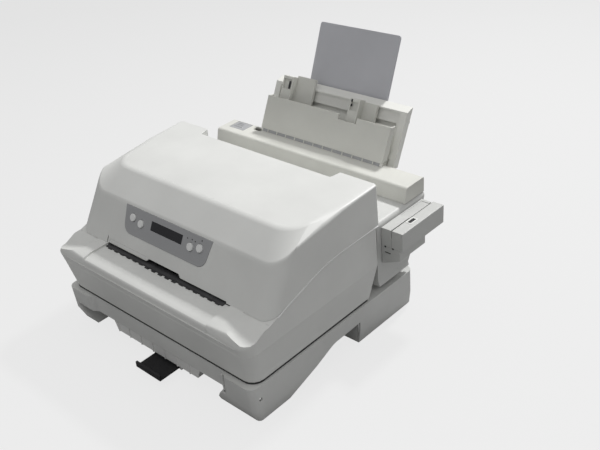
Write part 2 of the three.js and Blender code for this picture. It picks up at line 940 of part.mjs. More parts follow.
function buildSlotLip() {
  const toothPitch = 16;
  const toothWidth = 9;
  const toothReach = 3;
  const lipHeight = 2.4;
  const lipDepth = 7;
  const bottom = paperZ - lipHeight;
  const lip = block(
    [slotLeft + runningGap, slotRight - runningGap],
    [coverFrontY + seat, coverFrontY + lipDepth],
    [bottom - lipHeight, paperZ],
  );
  const count = Math.floor((slotRight - slotLeft) / toothPitch) - 1;
  const first = slotLeft + runningGap + toothPitch;
  const teeth = [];
  for (let i = 0; i < count; i += 1) {
    const x = first + i * toothPitch;
    teeth.push(
      block(
        [x - toothWidth / 2, x + toothWidth / 2],
        [coverFrontY + seat, coverFrontY + lipDepth + toothReach],
        [bottom - lipHeight, paperZ + seat],
      ),
    );
  }
  add("slot_lip", join(lip, ...teeth), finishes.black);
}

function hingePins() {
  [["left", -1], ["right", 1]].forEach(([name, side]) => {
    const middle = hingeX + hingeEarWidth / 2 + seat;
    const span = sorted(side * (middle - hingePinLength / 2), side * (middle + hingePinLength / 2));
    add(
      "hinge_pin_" + name,
      bar("x", [hingeY, hingeZ], hingePinRadius, span, smallSides),
      finishes.steel,
    );
  });
}

// Stand
function standForm(inset, drop) {
  const ring = (half, front, radius) =>
    plan({
      frontHalf: half - inset,
      rearHalf: half - inset,
      front: front + inset,
      rear: standRear - inset,
      frontRadius: radius - inset,
      backRadius: radius - inset,
    });
  const middle = (standFootRadius + standRadius) / 2;
  return loft([
    raise(
      ring(standFootHalf, standFrontFoot, standFootRadius),
      () => padProud - (inset > 0 ? overrun : 0),
    ),
    raise(ring(standMiddleHalf, standFrontMiddle, middle), () => standMiddleZ),
    raise(ring(standTopHalf, standFrontTop, standRadius), () => standTopZ - drop),
  ]);
}

function buildStand() {
  const across = [-standTopHalf - overrun, standTopHalf + overrun];
  const arch = prism(
    "x",
    rounded([
      [archFrontY, -overrun],
      [archRearY, -overrun],
      [archRearY, archTopZ],
      [archFrontY + (archRearY - archFrontY) * archKneeShare, archTopZ - padProud, standRadius * 4],
      [archFrontY + (archRearY - archFrontY) * archToeShare, archTopZ / 3, standRadius * 3],
      [archFrontY + padHeight, 0],
    ]),
    across,
  );
  const frontOpening = prism(
    "y",
    rounded([
      [leftFootInner, -overrun],
      [rightFootInner, -overrun],
      [rightFootInner, footLip, footLip / 2],
      [rightRailEnd, railLowerZ],
      [leftRailEnd, railLowerZ],
      [leftFootInner, padProud * 2],
    ]),
    [standFrontTop - overrun, standFrontTop + standRadius * 4],
  );
  const rearOpening = block(
    [-standFootHalf + rearFootWidth, standFootHalf - rearFootWidth],
    [standRear - standRadius * 4, standRear + overrun],
    [-overrun, rearOpeningZ],
  );
  const deckOpening = prism(
    "z",
    rounded([
      [-railHalf, standFrontTop + standRadius * 5, standRadius],
      [railHalf, standFrontTop + standRadius * 5, standRadius],
      [railHalf, standRear - standRadius * 3, standRadius],
      [-railHalf, standRear - standRadius * 3, standRadius],
    ]),
    [railLowerZ, standTopZ + overrun],
  );
  const railCut = prism(
    "z",
    rounded([
      [-railHalf - railRecess, standFrontTop - overrun],
      [railHalf + railRecess, standFrontTop - overrun],
      [railHalf - railRecess * 2, standFrontTop + railRecess],
      [-railHalf + railRecess * 2, standFrontTop + railRecess],
    ]),
    [railLowerZ - overrun, standTopZ + overrun],
  );
  const railBack = prism(
    "z",
    [
      [-railHalf, standFrontMiddle],
      [railHalf, standFrontMiddle],
      [railHalf - railRecess * 2 + railThickness, standFrontTop + railRecess + railThickness],
      [-railHalf + railRecess * 2 - railThickness, standFrontTop + railRecess + railThickness],
    ],
    [railLowerZ, standTopZ - standDeck / 2],
  );
  const footFlanks = [
    { foot: leftFootInner, rail: leftRailEnd, lip: padProud * 2, thickness: -standWall },
    { foot: rightFootInner, rail: rightRailEnd, lip: footLip, thickness: standWall },
  ].map(({ foot, rail, lip, thickness }) => {
    const section = (x, front, z) => {
      const [left, right] = [x, x + thickness].toSorted((a, b) => a - b);
      return [
        new THREE.Vector3(left, front + standWall / 2, z),
        new THREE.Vector3(right, front + standWall / 2, z),
        new THREE.Vector3(right, archFrontY + overrun, z),
        new THREE.Vector3(left, archFrontY + overrun, z),
      ];
    };
    const xAt = (z) => THREE.MathUtils.mapLinear(z, lip, railLowerZ, foot, rail);
    const frontAt = (z) => THREE.MathUtils.mapLinear(
      z,
      standMiddleZ,
      standTopZ,
      standFrontMiddle,
      standFrontTop,
    );
    const lipFront = THREE.MathUtils.mapLinear(
      lip,
      padProud,
      standMiddleZ,
      standFrontFoot,
      standFrontMiddle,
    );
    const flankTop = standTopZ - standDeck / 2;
    return loft([
      section(foot, standFrontFoot, padProud),
      section(foot, lipFront, lip),
      section(xAt(standMiddleZ), standFrontMiddle, standMiddleZ),
      section(rail, frontAt(railLowerZ), railLowerZ),
      section(rail, frontAt(flankTop), flankTop),
    ]);
  });
  let frame = cut(standForm(0, 0), standForm(standWall, standDeck));
  frame = cut(join(frame, railBack), frontOpening, railCut);
  frame = cut(join(frame, ...footFlanks), arch, rearOpening, deckOpening);
  const footWalls = [-1, 1].map((side) => {
    const rearWall = block(
      sorted(side * (standFootHalf - rearFootWidth), side * (standFootHalf - standWall / 2)),
      [archRearY, archRearY + standWall],
      [padProud, standTopZ - standDeck / 2],
    );
    const innerWall = block(
      sorted(side * (standFootHalf - rearFootWidth), side * (standFootHalf - rearFootWidth + standWall)),
      [archRearY, standRear - standWall / 2],
      [padProud, standTopZ - standDeck / 2],
    );
    return join(rearWall, innerWall);
  });
  const padPlaces = padCentres();
  const padBosses = padPlaces.map(({ x, y }) =>
    bar("z", [x, y], padRadius + standWall, [padProud, padHeight + standWall * 2], roundSides),
  );
  const bossWebs = padPlaces.map(({ x, y }) =>
    block(
      sorted(Math.sign(x) * (Math.abs(x) - standWall / 2), Math.sign(x) * (standFootHalf - standWall / 2)),
      [y - padRadius, y + padRadius],
      [padProud, padHeight + standWall * 2],
    ),
  );
  const padHoles = padPlaces.map(
    ({ x, y }) => bar("z", [x, y], padRadius + seat, [-overrun, padHeight + seat], roundSides),
  );
  const pegHole = bar(
    "x",
    [standFrontTop + standRadius + seat * 10, railLowerZ + padHeight * 2],
    padHeight,
    [standFootHalf - standWall * 2, standTopHalf + overrun],
    smallSides,
  );
  const caseSeats = [-1, 1].flatMap((side) =>
    [caseBottomFront + standRadius * 3, caseBottomRear - standRadius * 3].map((y) =>
      bar(
        "z",
        [side * (caseBottomHalf - standRadius * 2), y],
        standRadius / 2,
        [standTopZ - standDeck / 2, caseBottomZ - seat],
        smallSides,
      ),
    ),
  );
  frame = cut(join(frame, ...footWalls, ...padBosses, ...bossWebs, ...caseSeats), ...padHoles, pegHole);
  add("stand_frame", frame, finishes.standGrey);
  padPlaces.forEach(({ name, x, y }) => {
    add("foot_pad_" + name, bar("z", [x, y], padRadius, [0, padHeight], roundSides), finishes.rubber);
  });
}

function padCentres() {
  const sideX = standFootHalf - standWall - padRadius * 2;
  const frontY = standFrontFoot + standWall + padRadius * 2;
  const rearY = standRear - standWall - padRadius * 3;
  return [
    { name: "front_left", x: -sideX, y: frontY },
    { name: "front_right", x: sideX, y: frontY },
    { name: "rear_left", x: -sideX, y: rearY },
    { name: "rear_right", x: sideX, y: rearY },
  ];
}

function buildTray() {
  const floor = trayBottomZ;
  const body = prism(
    "y",
    [
      [trayLeft, trayTopZ],
      [trayLeft + trayTaper, floor],
      [trayRight - trayTaper, floor],
      [trayRight, trayTopZ],
    ],
    [trayFrontY, trayRearY],
  );
  const inside = prism(
    "y",
    [
      [trayLeft + wall, trayTopZ - wall],
      [trayLeft + trayTaper + wall, floor + wall],
      [trayRight - trayTaper - wall, floor + wall],
      [trayRight - wall, trayTopZ - wall],
    ],
    [trayFrontY + wall, trayRearY + overrun],
  );
  const ribCount = Math.floor((trayRight - trayLeft - trayTaper * 2) / trayRibPitch);
  const ribs = [];
  for (let i = 0; i <= ribCount; i += 1) {
    const x = trayLeft + trayTaper + trayRibWidth * 2 + i * trayRibPitch;
    ribs.push(
      block(
        [x, x + trayRibWidth],
        [trayFrontY - trayRibWidth, trayFrontY + wall / 2],
        [floor, railLowerZ - runningGap],
      ),
    );
  }
  const runners = [slideLeft - wall - runningGap, slideRight + runningGap].map((x) =>
    join(
      block([x, x + wall], [trayFrontY + wall, trayRearY], [slideZ - wall, floor + wall / 2]),
      block(
        x < slideLeft ? [x, x + wall * 2] : [x - wall, x + wall],
        [trayFrontY + wall, trayRearY],
        [slideZ - wall - seat, slideZ - runningGap],
      ),
    ),
  );
  add("document_tray", join(cut(body, inside), ...ribs, ...runners), finishes.standGrey);
  const plate = block(
    [slideLeft, slideRight],
    [slideFrontY + slideLipDepth / 2, trayRearY - overrun * 2],
    [slideZ, slideZ + slideThickness],
  );
  const lip = prism(
    "x",
    rounded([
      [slideFrontY, slideZ],
      [slideFrontY + slideLipDepth, slideZ],
      [slideFrontY + slideLipDepth, slideZ + slideLipHeight, slideLipDepth / 4],
      [slideFrontY, slideZ + slideLipHeight, slideLipDepth / 4],
    ]),
    [slideLeft, slideRight],
  );
  add("document_slide", join(plate, lip), finishes.black);
}

// Chassis and paper path
function sideOutline() {
  return rounded([
    [chassisFrontY, chassisBaseZ + chassisSheet + seat],
    [chassisRearY, chassisBaseZ + chassisSheet + seat],
    [chassisRearY, chassisTopZ, chassisFlange],
    [bridgeRearY + chassisFlange * 2, chassisTopZ],
    [bridgeRearY + chassisFlange, bridgeZ - seat],
    [bridgeFrontY - chassisSheet, bridgeZ - seat],
    [frontRollerY - chassisFlange * 2, paperZ + chassisFlange * 2],
    [chassisFrontY, paperZ + chassisFlange],
  ]);
}

function buildChassis() {
  const tray = block(
    [-chassisHalf, chassisHalf],
    [chassisFrontY, chassisRearY],
    [chassisBaseZ, chassisBaseZ + chassisSheet],
  );
  const flanges = [chassisFrontY - chassisSheet - seat, chassisRearY + seat].map((y) =>
    block(
      [-chassisHalf, chassisHalf],
      [y, y + chassisSheet],
      [chassisBaseZ, chassisBaseZ + chassisFlange],
    ),
  );
  const folds = [chassisFrontY - chassisSheet - seat, chassisRearY - chassisSheet].map((y) =>
    block(
      [-chassisHalf, chassisHalf],
      [y, y + chassisSheet * 2 + seat],
      [chassisBaseZ, chassisBaseZ + chassisSheet],
    ),
  );
  add("chassis_base", join(tray, ...flanges, ...folds), finishes.steel);
  [["left", -1], ["right", 1]].forEach(([name, side]) => {
    const span = [side * (chassisHalf - chassisSheet), side * chassisHalf].toSorted((a, b) => a - b);
    const plate = prism("x", sideOutline(), span);
    const reach = [span[0] - overrun, span[1] + overrun];
    const holes = [frontRollerY, rearRollerY].flatMap((y) => [
      bar("x", [y, lowerRollerZ], rollerShaftRadius + shaftClearance, reach, smallSides),
      bar("x", [y, upperRollerZ], rollerShaftRadius + shaftClearance, reach, smallSides),
    ]);
    const motorHole = bar("x", [motorY, motorZ], motorShaftRadius + shaftClearance, reach, smallSides);
    const shaftHole = bar(
      "x",
      [carriageShaftY, carriageShaftZ],
      carriageShaftRadius + seat,
      reach,
      smallSides,
    );
    const lightening = prism(
      "x",
      rounded([
        [supplyFrontY + chassisFlange, chassisBaseZ + chassisFlange * 2, chassisFlange / 2],
        [chassisRearY - chassisFlange, chassisBaseZ + chassisFlange * 2, chassisFlange / 2],
        [chassisRearY - chassisFlange, lowerRollerZ - chassisFlange * 2, chassisFlange / 2],
        [supplyFrontY + chassisFlange, lowerRollerZ - chassisFlange * 2, chassisFlange / 2],
      ]),
      reach,
    );
    const foot = block(
      [side * (chassisHalf - chassisFlange), side * chassisHalf].toSorted((a, b) => a - b),
      [chassisFrontY + chassisFlange, motorY - motorRadius - overrun],
      [chassisBaseZ + chassisSheet + seat, chassisBaseZ + chassisSheet * 2 + seat],
    );
    add(
      "chassis_side_" + name,
      join(cut(plate, ...holes, motorHole, shaftHole, lightening), foot),
      finishes.steel,
    );
  });
}

const lowerRollerZ = paperZ - rollerRadius;
const upperRollerZ = paperZ + rollerRadius + rollerNip;
const motorY = (frontRollerY + rearRollerY) / 2;
const motorZ = lowerRollerZ - pinionDrop;

function buildPaperPath() {
  const windows = [
    [frontRollerY, rollerRadius],
    [platenY, platenWidth / 2],
    [rearRollerY, rollerRadius],
  ].map(([y, half]) =>
    block(
      [-windowHalf, windowHalf],
      [y - half - windowMargin, y + half + windowMargin],
      [paperZ - overrun, paperZ + overrun],
    ),
  );
  const sheet = block(
    [-bedHalf, bedHalf],
    [bedFrontY, bedRearY],
    [paperZ - bedSheet - seat, paperZ - seat],
  );
  const tabs = [-1, 1].flatMap((side) =>
    [bedFrontY + chassisFlange, bedRearY - chassisFlange * 2].map((y) =>
      block(
        sorted(side * (chassisHalf - chassisSheet - seat), side * (bedHalf - chassisFlange)),
        [y, y + chassisFlange],
        [paperZ - bedSheet - seat, paperZ - seat],
      ),
    ),
  );
  add("paper_bed", cut(join(sheet, ...tabs), ...windows), finishes.steel);
  const platenBar = block(
    [-chassisHalf + chassisSheet + seat, chassisHalf - chassisSheet - seat],
    [platenY - platenWidth / 2, platenY + platenWidth / 2],
    [paperZ - bedSheet - seat * 2 - platenHeight, paperZ - bedSheet - seat * 2],
  );
  const anvil = block(
    [-windowHalf + windowMargin, windowHalf - windowMargin],
    [platenY - platenWidth / 3, platenY + platenWidth / 3],
    [paperZ - bedSheet - seat * 2 - platenHeight / 2, paperZ],
  );
  add("platen", join(platenBar, anvil), finishes.rubber);
  const innerReach = chassisHalf + chassisSheet * 2;
  const rollersOn = (y, z, span) =>
    join(
      bar("x", [y, z], rollerShaftRadius, span, roundSides),
      ...rollerPlaces.map(
        (x) => bar("x", [y, z], rollerRadius, [x - rollerLength / 2, x + rollerLength / 2], roundSides),
      ),
    );
  add(
    "front_drive_roller",
    rollersOn(frontRollerY, lowerRollerZ, [-gearInner - seat * 2, innerReach]),
    finishes.rubber,
  );
  add(
    "rear_drive_roller",
    rollersOn(rearRollerY, lowerRollerZ, [-gearInner - seat * 2, innerReach]),
    finishes.rubber,
  );
  add(
    "front_pinch_roller",
    rollersOn(frontRollerY, upperRollerZ, [-innerReach, innerReach]),
    finishes.rubber,
  );
  add(
    "rear_pinch_roller",
    rollersOn(rearRollerY, upperRollerZ, [-innerReach, innerReach]),
    finishes.rubber,
  );
}

// Feed gears: the pinion sits under and between the two roller gears.
const gearInner = chassisHalf + chassisSheet * 2;
const gearDistance = Math.hypot((rearRollerY - frontRollerY) / 2, pinionDrop);
const gearModule = (2 * gearDistance) / (gearTeeth + pinionTeeth);
const meshAngle = Math.atan2(-pinionDrop, (rearRollerY - frontRollerY) / 2);

function gearOutline(teeth, phase) {
  const pitchRadius = (gearModule * teeth) / 2;
  const tip = pitchRadius + 0.82 * gearModule;
  const root = pitchRadius - 1.15 * gearModule;
  const pitchAngle = (2 * Math.PI) / teeth;
  const shares = [
    [root, -0.3],
    [tip, -0.11],
    [tip, 0.11],
    [root, 0.3],
  ];
  const outline = [];
  for (let i = 0; i < teeth; i += 1) {
    shares.forEach(([radius, share]) => {
      const angle = phase + (i + share) * pitchAngle;
      outline.push([radius * Math.cos(angle), radius * Math.sin(angle)]);
    });
  }
  return outline;
}

function gearAt(teeth, phase, y, z, shaftRadius) {
  const outline = gearOutline(teeth, phase).map(([a, b]) => [a + y, b + z]);
  const span = [-gearInner - seat * 2 - gearWidth, -gearInner - seat * 2];
  return {
    wheel: prism("x", outline, span),
    span,
    bore: bar("x", [y, z], shaftRadius, [span[0] - overrun, span[1] + overrun], smallSides),
  };
}

function buildFeedDrive() {
  const frontPhase = meshAngle;
  const pinionPhase = meshAngle + Math.PI + Math.PI / pinionTeeth;
  const toRear = -meshAngle;
  const pinionPitch = (2 * Math.PI) / pinionTeeth;
  const steps = Math.round((toRear - pinionPhase) / pinionPitch - 0.5) + 0.5;
  const gapAngle = pinionPhase + steps * pinionPitch;
  const rearPhase = toRear + Math.PI - (gapAngle - toRear) * (pinionTeeth / gearTeeth);
  const webRadius = (gearModule * gearTeeth) / 2 - gearModule * 3;
  [
    ["front_feed_gear", frontRollerY, frontPhase],
    ["rear_feed_gear", rearRollerY, rearPhase],
  ].forEach(([name, y, phase]) => {
    const { wheel, span } = gearAt(gearTeeth, phase, y, lowerRollerZ, rollerShaftRadius);
    const dish = cut(
      bar("x", [y, lowerRollerZ], webRadius, [span[0] - overrun, span[0] + gearWidth / 2], roundSides),
      bar(
        "x",
        [y, lowerRollerZ],
        rollerShaftRadius * 2,
        [span[0] - overrun * 2, span[1] + overrun],
        roundSides,
      ),
    );
    add(name, cut(wheel, dish), finishes.gear);
  });
  const pinion = gearAt(pinionTeeth, pinionPhase, motorY, motorZ, motorShaftRadius);
  add(
    "motor_pinion",
    cut(
      pinion.wheel,
      bar(
        "x",
        [motorY, motorZ],
        motorShaftRadius + seat,
        [pinion.span[0] - overrun, pinion.span[1] + overrun],
        smallSides,
      ),
    ),
    finishes.gear,
  );
  const face = -chassisHalf + chassisSheet + seat;
  const body = bar("x", [motorY, motorZ], motorRadius, [face, face + motorLength], roundSides);
  const shaft = bar("x", [motorY, motorZ], motorShaftRadius, [pinion.span[0], face + seat], smallSides);
  add("feed_motor", join(body, shaft), finishes.steel);
}

// Carriage, its guides and drive
function buildCarriage() {
  const inner = chassisHalf - chassisSheet;
  add(
    "carriage_shaft",
    bar(
      "x",
      [carriageShaftY, carriageShaftZ],
      carriageShaftRadius,
      [-chassisHalf - chassisSheet, chassisHalf + chassisSheet],
      roundSides,
    ),
    finishes.steel,
  );
  const bridgeSpan = [-chassisHalf, chassisHalf];
  const sheet = block(bridgeSpan, [bridgeFrontY, bridgeRearY], [bridgeZ, bridgeZ + bridgeSheet]);
  const innerSpan = [-inner + seat, inner - seat];
  const flange = block(
    innerSpan,
    [bridgeRearY - bridgeSheet, bridgeRearY],
    [bridgeZ, bridgeZ + bridgeFlange],
  );
  const pulleyBottom = bridgeZ + bridgeSheet + runningGap;
  const shaftTop = pulleyBottom + beltHeight + wall;
  const shaftHoleInBridge = bar(
    "z",
    [-pulleyX, pulleyY],
    motorShaftRadius + shaftClearance,
    [bridgeZ - overrun, bridgeZ + overrun],
    smallSides,
  );
  const idlerPost = bar("z", [pulleyX, pulleyY], motorShaftRadius, [bridgeZ, shaftTop], smallSides);
  add("carriage_bridge", join(cut(join(sheet, flange), shaftHoleInBridge), idlerPost), finishes.steel);
  const span = [carriageX - carriageWidth / 2, carriageX + carriageWidth / 2];
  const body = prism(
    "x",
    rounded([
      [carriageFrontY, carriageBottomZ],
      [carriageRearY, carriageBottomZ, bolsterRise],
      [carriageRearY, carriageTopZ, bolsterRise],
      [carriageFrontY, carriageTopZ],
    ]),
    span,
  );
  const riser = block(
    span,
    [carriageFrontY, carriageFrontY + wall * 1.6],
    [carriageTopZ - wall, bridgeZ + bridgeFlange + wall * 2],
  );
  const beltInner = pulleyY + pulleyRadius + beltThickness;
  const over = block(
    [carriageX - carriageWidth / 4, carriageX + carriageWidth / 4],
    [beltInner + seat, carriageFrontY + wall],
    [bridgeZ + bridgeFlange + runningGap, bridgeZ + bridgeFlange + wall * 2],
  );
  const clamp = block(
    [carriageX - carriageWidth / 4, carriageX + carriageWidth / 4],
    [beltInner + seat, bridgeRearY - bridgeSheet - runningGap],
    [bridgeZ + bridgeSheet + runningGap, bridgeZ + bridgeFlange + wall * 2],
  );
  const shaftHole = bar(
    "x",
    [carriageShaftY, carriageShaftZ],
    carriageShaftRadius + seat,
    [span[0] - overrun, span[1] + overrun],
    roundSides,
  );
  const headHole = bar(
    "z",
    [carriageX, platenY],
    headBodyRadius + seat,
    [carriageBottomZ - overrun, carriageTopZ + overrun],
    roundSides,
  );
  add("carriage", cut(join(body, riser, over, clamp), shaftHole, headHole), finishes.black);
  const finPitch = (headTopZ - carriageTopZ) / headFins;
  const profile = [
    [0, headNoseZ],
    [headNoseRadius, headNoseZ],
    [headNoseRadius, carriageBottomZ],
    [headBodyRadius, carriageBottomZ + wall],
    [headBodyRadius, carriageTopZ + seat],
  ];
  for (let i = 0; i < headFins; i += 1) {
    const z = carriageTopZ + seat + i * finPitch;
    profile.push(
      [headFinRadius, z],
      [headFinRadius, z + finPitch / 2],
      [headBodyRadius, z + finPitch / 2],
      [headBodyRadius, z + finPitch],
    );
  }
  profile.push([0, headTopZ + seat]);
  const lathe = new THREE.LatheGeometry(profile.map(([r, z]) => new THREE.Vector2(r, z)), roundSides);
  lathe.rotateX(Math.PI / 2);
  lathe.translate(carriageX, platenY, 0);
  add("print_head", solidOf(lathe), finishes.steel);
  [["drive_pulley", -1], ["idler_pulley", 1]].forEach(([name, side]) => {
    const centre = [side * pulleyX, pulleyY];
    const hub = bar(
      "z",
      centre,
      pulleyRadius - seat,
      [pulleyBottom, pulleyBottom + beltHeight + wall],
      roundSides,
    );
    const rims = [pulleyBottom, pulleyBottom + beltHeight + wall - bridgeSheet / 2].map((z) =>
      bar("z", centre, pulleyRadius + beltThickness, [z, z + bridgeSheet / 2], roundSides),
    );
    const bore = bar(
      "z",
      centre,
      motorShaftRadius + seat,
      [pulleyBottom - overrun, pulleyBottom + beltHeight * 2],
      smallSides,
    );
    add(name, cut(join(hub, ...rims), bore), finishes.gear);
  });
  const loop = (radius) => {
    const outline = [];
    const half = roundSides / 2;
    for (let k = 0; k <= half; k += 1) {
      const angle = -Math.PI / 2 + (Math.PI * k) / half;
      outline.push([pulleyX + radius * Math.cos(angle), pulleyY + radius * Math.sin(angle)]);
    }
    for (let k = 0; k <= half; k += 1) {
      const angle = Math.PI / 2 + (Math.PI * k) / half;
      outline.push([-pulleyX + radius * Math.cos(angle), pulleyY + radius * Math.sin(angle)]);
    }
    return outline;
  };
  const beltBottom = pulleyBottom + bridgeSheet / 2 + seat;
  const beltTop = beltBottom + beltHeight - seat * 2 + wall - bridgeSheet - runningGap;
  const belt = cut(
    prism("z", loop(pulleyRadius + beltThickness), [beltBottom, beltTop]),
    prism("z", loop(pulleyRadius), [beltBottom - overrun, beltTop + overrun]),
  );
  add("carriage_belt", belt, finishes.rubber);
  const motorTop = bridgeZ - seat;
  const motor = join(
    bar(
      "z",
      [-pulleyX, pulleyY],
      carriageMotorRadius,
      [motorTop - carriageMotorHeight, motorTop],
      roundSides,
    ),
    bar("z", [-pulleyX, pulleyY], motorShaftRadius, [motorTop - wall, shaftTop], smallSides),
  );
  add("carriage_motor", motor, finishes.steel);
  const bottom = chassisTopZ + seat;
  const cassette = block(
    [-chassisHalf - wall, chassisHalf + wall],
    [cassetteFrontY, cassetteRearY],
    [bottom, cassetteTopZ],
  );
  const arms = [-1, 1].map((side) => {
    const armSpan = sorted(
      side * (chassisHalf - chassisSheet * 2 - cassetteArmWidth),
      side * (chassisHalf - chassisSheet * 2),
    );
    return join(
      block(armSpan, [cassetteArmY, cassetteFrontY + wall], [bottom, cassetteTopZ - wall]),
      block(
        armSpan,
        [cassetteArmY, cassetteArmY + cassetteArmWidth * 1.5],
        [headNoseZ - seat, cassetteTopZ - wall],
      ),
    );
  });
  const ribbonZ = headNoseZ - seat * 2;
  const ribbonHalf = chassisHalf - chassisSheet * 2 - wall;
  const ribbon = block(
    [-ribbonHalf, ribbonHalf],
    [platenY - headNoseRadius, platenY + headNoseRadius / 2],
    [ribbonZ - seat, ribbonZ],
  );
  const ribbonFeet = [-1, 1].map((side) =>
    block(
      [side * (ribbonHalf - cassetteArmWidth / 2), side * ribbonHalf].toSorted((a, b) => a - b),
      [platenY - headNoseRadius, platenY + headNoseRadius / 2],
      [ribbonZ - seat, headNoseZ + wall],
    ),
  );
  add("ribbon_cassette", join(cassette, ...arms, ribbon, ...ribbonFeet), finishes.black);
}

function buildElectronics() {
  const floor = chassisBaseZ + chassisSheet + seat;
  const sheetZ = floor + boardStand;
  const sheet = block(
    [-boardHalfX, boardHalfX],
    [boardFrontY, boardRearY],
    [sheetZ, sheetZ + boardSheet],
  );
  const stands = [-1, 1].flatMap((side) =>
    [boardFrontY + boardStand, boardRearY - boardStand].map((y) =>
      bar(
        "z",
        [side * (boardHalfX - boardStand), y],
        boardStand / 2,
        [floor, sheetZ + boardSheet / 2],
        smallSides,
      ),
    ),
  );
  const chipShares = [
    [-0.6, 0.3, 0.16, 0.25, 0.3],
    [0.05, 0.35, 0.12, 0.3, 0.25],
    [0.55, 0.55, 0.2, 0.2, 0.9],
    [0.8, 0.1, 0.1, 0.5, 0.7],
  ];
  const depth = boardRearY - boardFrontY;
  const chips = chipShares.map(([x, y, w, d, h]) =>
    block(
      [x * boardHalfX, (x + w) * boardHalfX],
      [boardFrontY + y * depth, boardFrontY + (y + d) * depth],
      [sheetZ + boardSheet / 2, sheetZ + boardSheet + h * boardStand * 2],
    ),
  );
  add("main_board", join(sheet, ...stands, ...chips), finishes.circuit);
  const supply = block([supplyLeft, supplyRight], [supplyFrontY, supplyRearY], [floor, supplyTopZ]);
  const slots = [];
  const slotCount = 9;
  const slotPitch = (supplyRight - supplyLeft) / (slotCount + 1);
  for (let i = 1; i <= slotCount; i += 1) {
    slots.push(
      block(
        [supplyLeft + i * slotPitch, supplyLeft + i * slotPitch + wall],
        [supplyFrontY + wall * 3, supplyRearY - wall * 3],
        [supplyTopZ - wall, supplyTopZ + overrun],
      ),
    );
  }
  add("power_supply", cut(supply, ...slots), finishes.steel);
}

// Rear case, beam and feeder
function rearProfile(inset) {
  return rounded([
    [rearFrontY + inset, rearBottomZ + (inset > 0 ? -overrun : 0)],
    [rearBottomY - inset, rearBottomZ + (inset > 0 ? -overrun : 0)],
    [
      rearBottomY + (deckRearY - rearBottomY) / 2 - inset,
      rearBottomZ + (deckZ - rearBottomZ) * 0.42,
      standRadius * 2,
    ],
    [deckRearY - inset, deckZ - inset],
    [rearFrontY + inset, deckZ - inset],
  ]);
}

function buildRearCase() {
  const outer = prism("x", rearProfile(0), [-rearHalf, rearHalf]);
  const rounding = prism(
    "y",
    rounded([
      [-rearHalf, -overrun],
      [rearHalf, -overrun],
      [rearHalf, deckZ, rearCornerRadius],
      [-rearHalf, deckZ, rearCornerRadius],
    ]),
    [rearFrontY - overrun, deckRearY + overrun],
  );
  const inner = prism("x", rearProfile(wall), [-rearHalf + wall, rearHalf - wall]);
  const skirt = prism(
    "y",
    [
      [-rearHalf - skirtProud, rearBottomZ],
      [rearHalf + skirtProud, rearBottomZ],
      [rearHalf + skirtProud, rearBottomZ + skirtRise / 3],
      [rearHalf, rearBottomZ + skirtRise],
      [-rearHalf, rearBottomZ + skirtRise],
      [-rearHalf - skirtProud, rearBottomZ + skirtRise / 3],
    ],
    [rearFrontY, rearBottomY],
  );
  const skirtInside = block(
    [-rearHalf + wall, rearHalf - wall],
    [rearFrontY + wall, rearBottomY + overrun],
    [rearBottomZ - overrun, rearBottomZ + skirtRise + overrun],
  );
  const rearFace = rearWallAt(inletZ);
  const openings = [
    [inletX, inletWidth, inletHeight],
    [switchX, switchWidth, switchHeight],
    [socketX, socketWidth, socketHeight],
  ].map(([x, width, height]) =>
    block(
      [x - width / 2 - seat, x + width / 2 + seat],
      [rearFace - wall * 8, rearFace + overrun * 3],
      [inletZ - height / 2 - seat, inletZ + height / 2 + seat],
    ),
  );
  const feet = [-1, 1].flatMap((side) =>
    [rearFrontY + standRadius, rearBottomY - standRadius].map((y) =>
      join(
        bar(
          "z",
          [side * (rearHalf - standRadius * 2), y],
          standRadius / 2,
          [standTopZ + seat, rearBottomZ + skirtRise],
          smallSides,
        ),
        block(
          [side * (rearHalf - standRadius * 2), side * (rearHalf - wall / 2)].toSorted((a, b) => a - b),
          [y - wall, y + wall],
          [rearBottomZ, rearBottomZ + skirtRise],
        ),
      ),
    ),
  );
  const shell = join(cut(join(outer.intersect(rounding), skirt), inner, skirtInside), ...feet);
  add("rear_case", cut(shell, ...openings), finishes.caseWhite);
}

// The y of the rear case's sloping rear wall at a height.
function rearWallAt(z) {
  const kneeY = rearBottomY + (deckRearY - rearBottomY) / 2;
  const kneeZ = rearBottomZ + (deckZ - rearBottomZ) * 0.42;
  return z < kneeZ
    ? THREE.MathUtils.mapLinear(z, rearBottomZ, kneeZ, rearBottomY, kneeY)
    : THREE.MathUtils.mapLinear(z, kneeZ, deckZ, kneeY, deckRearY);
}

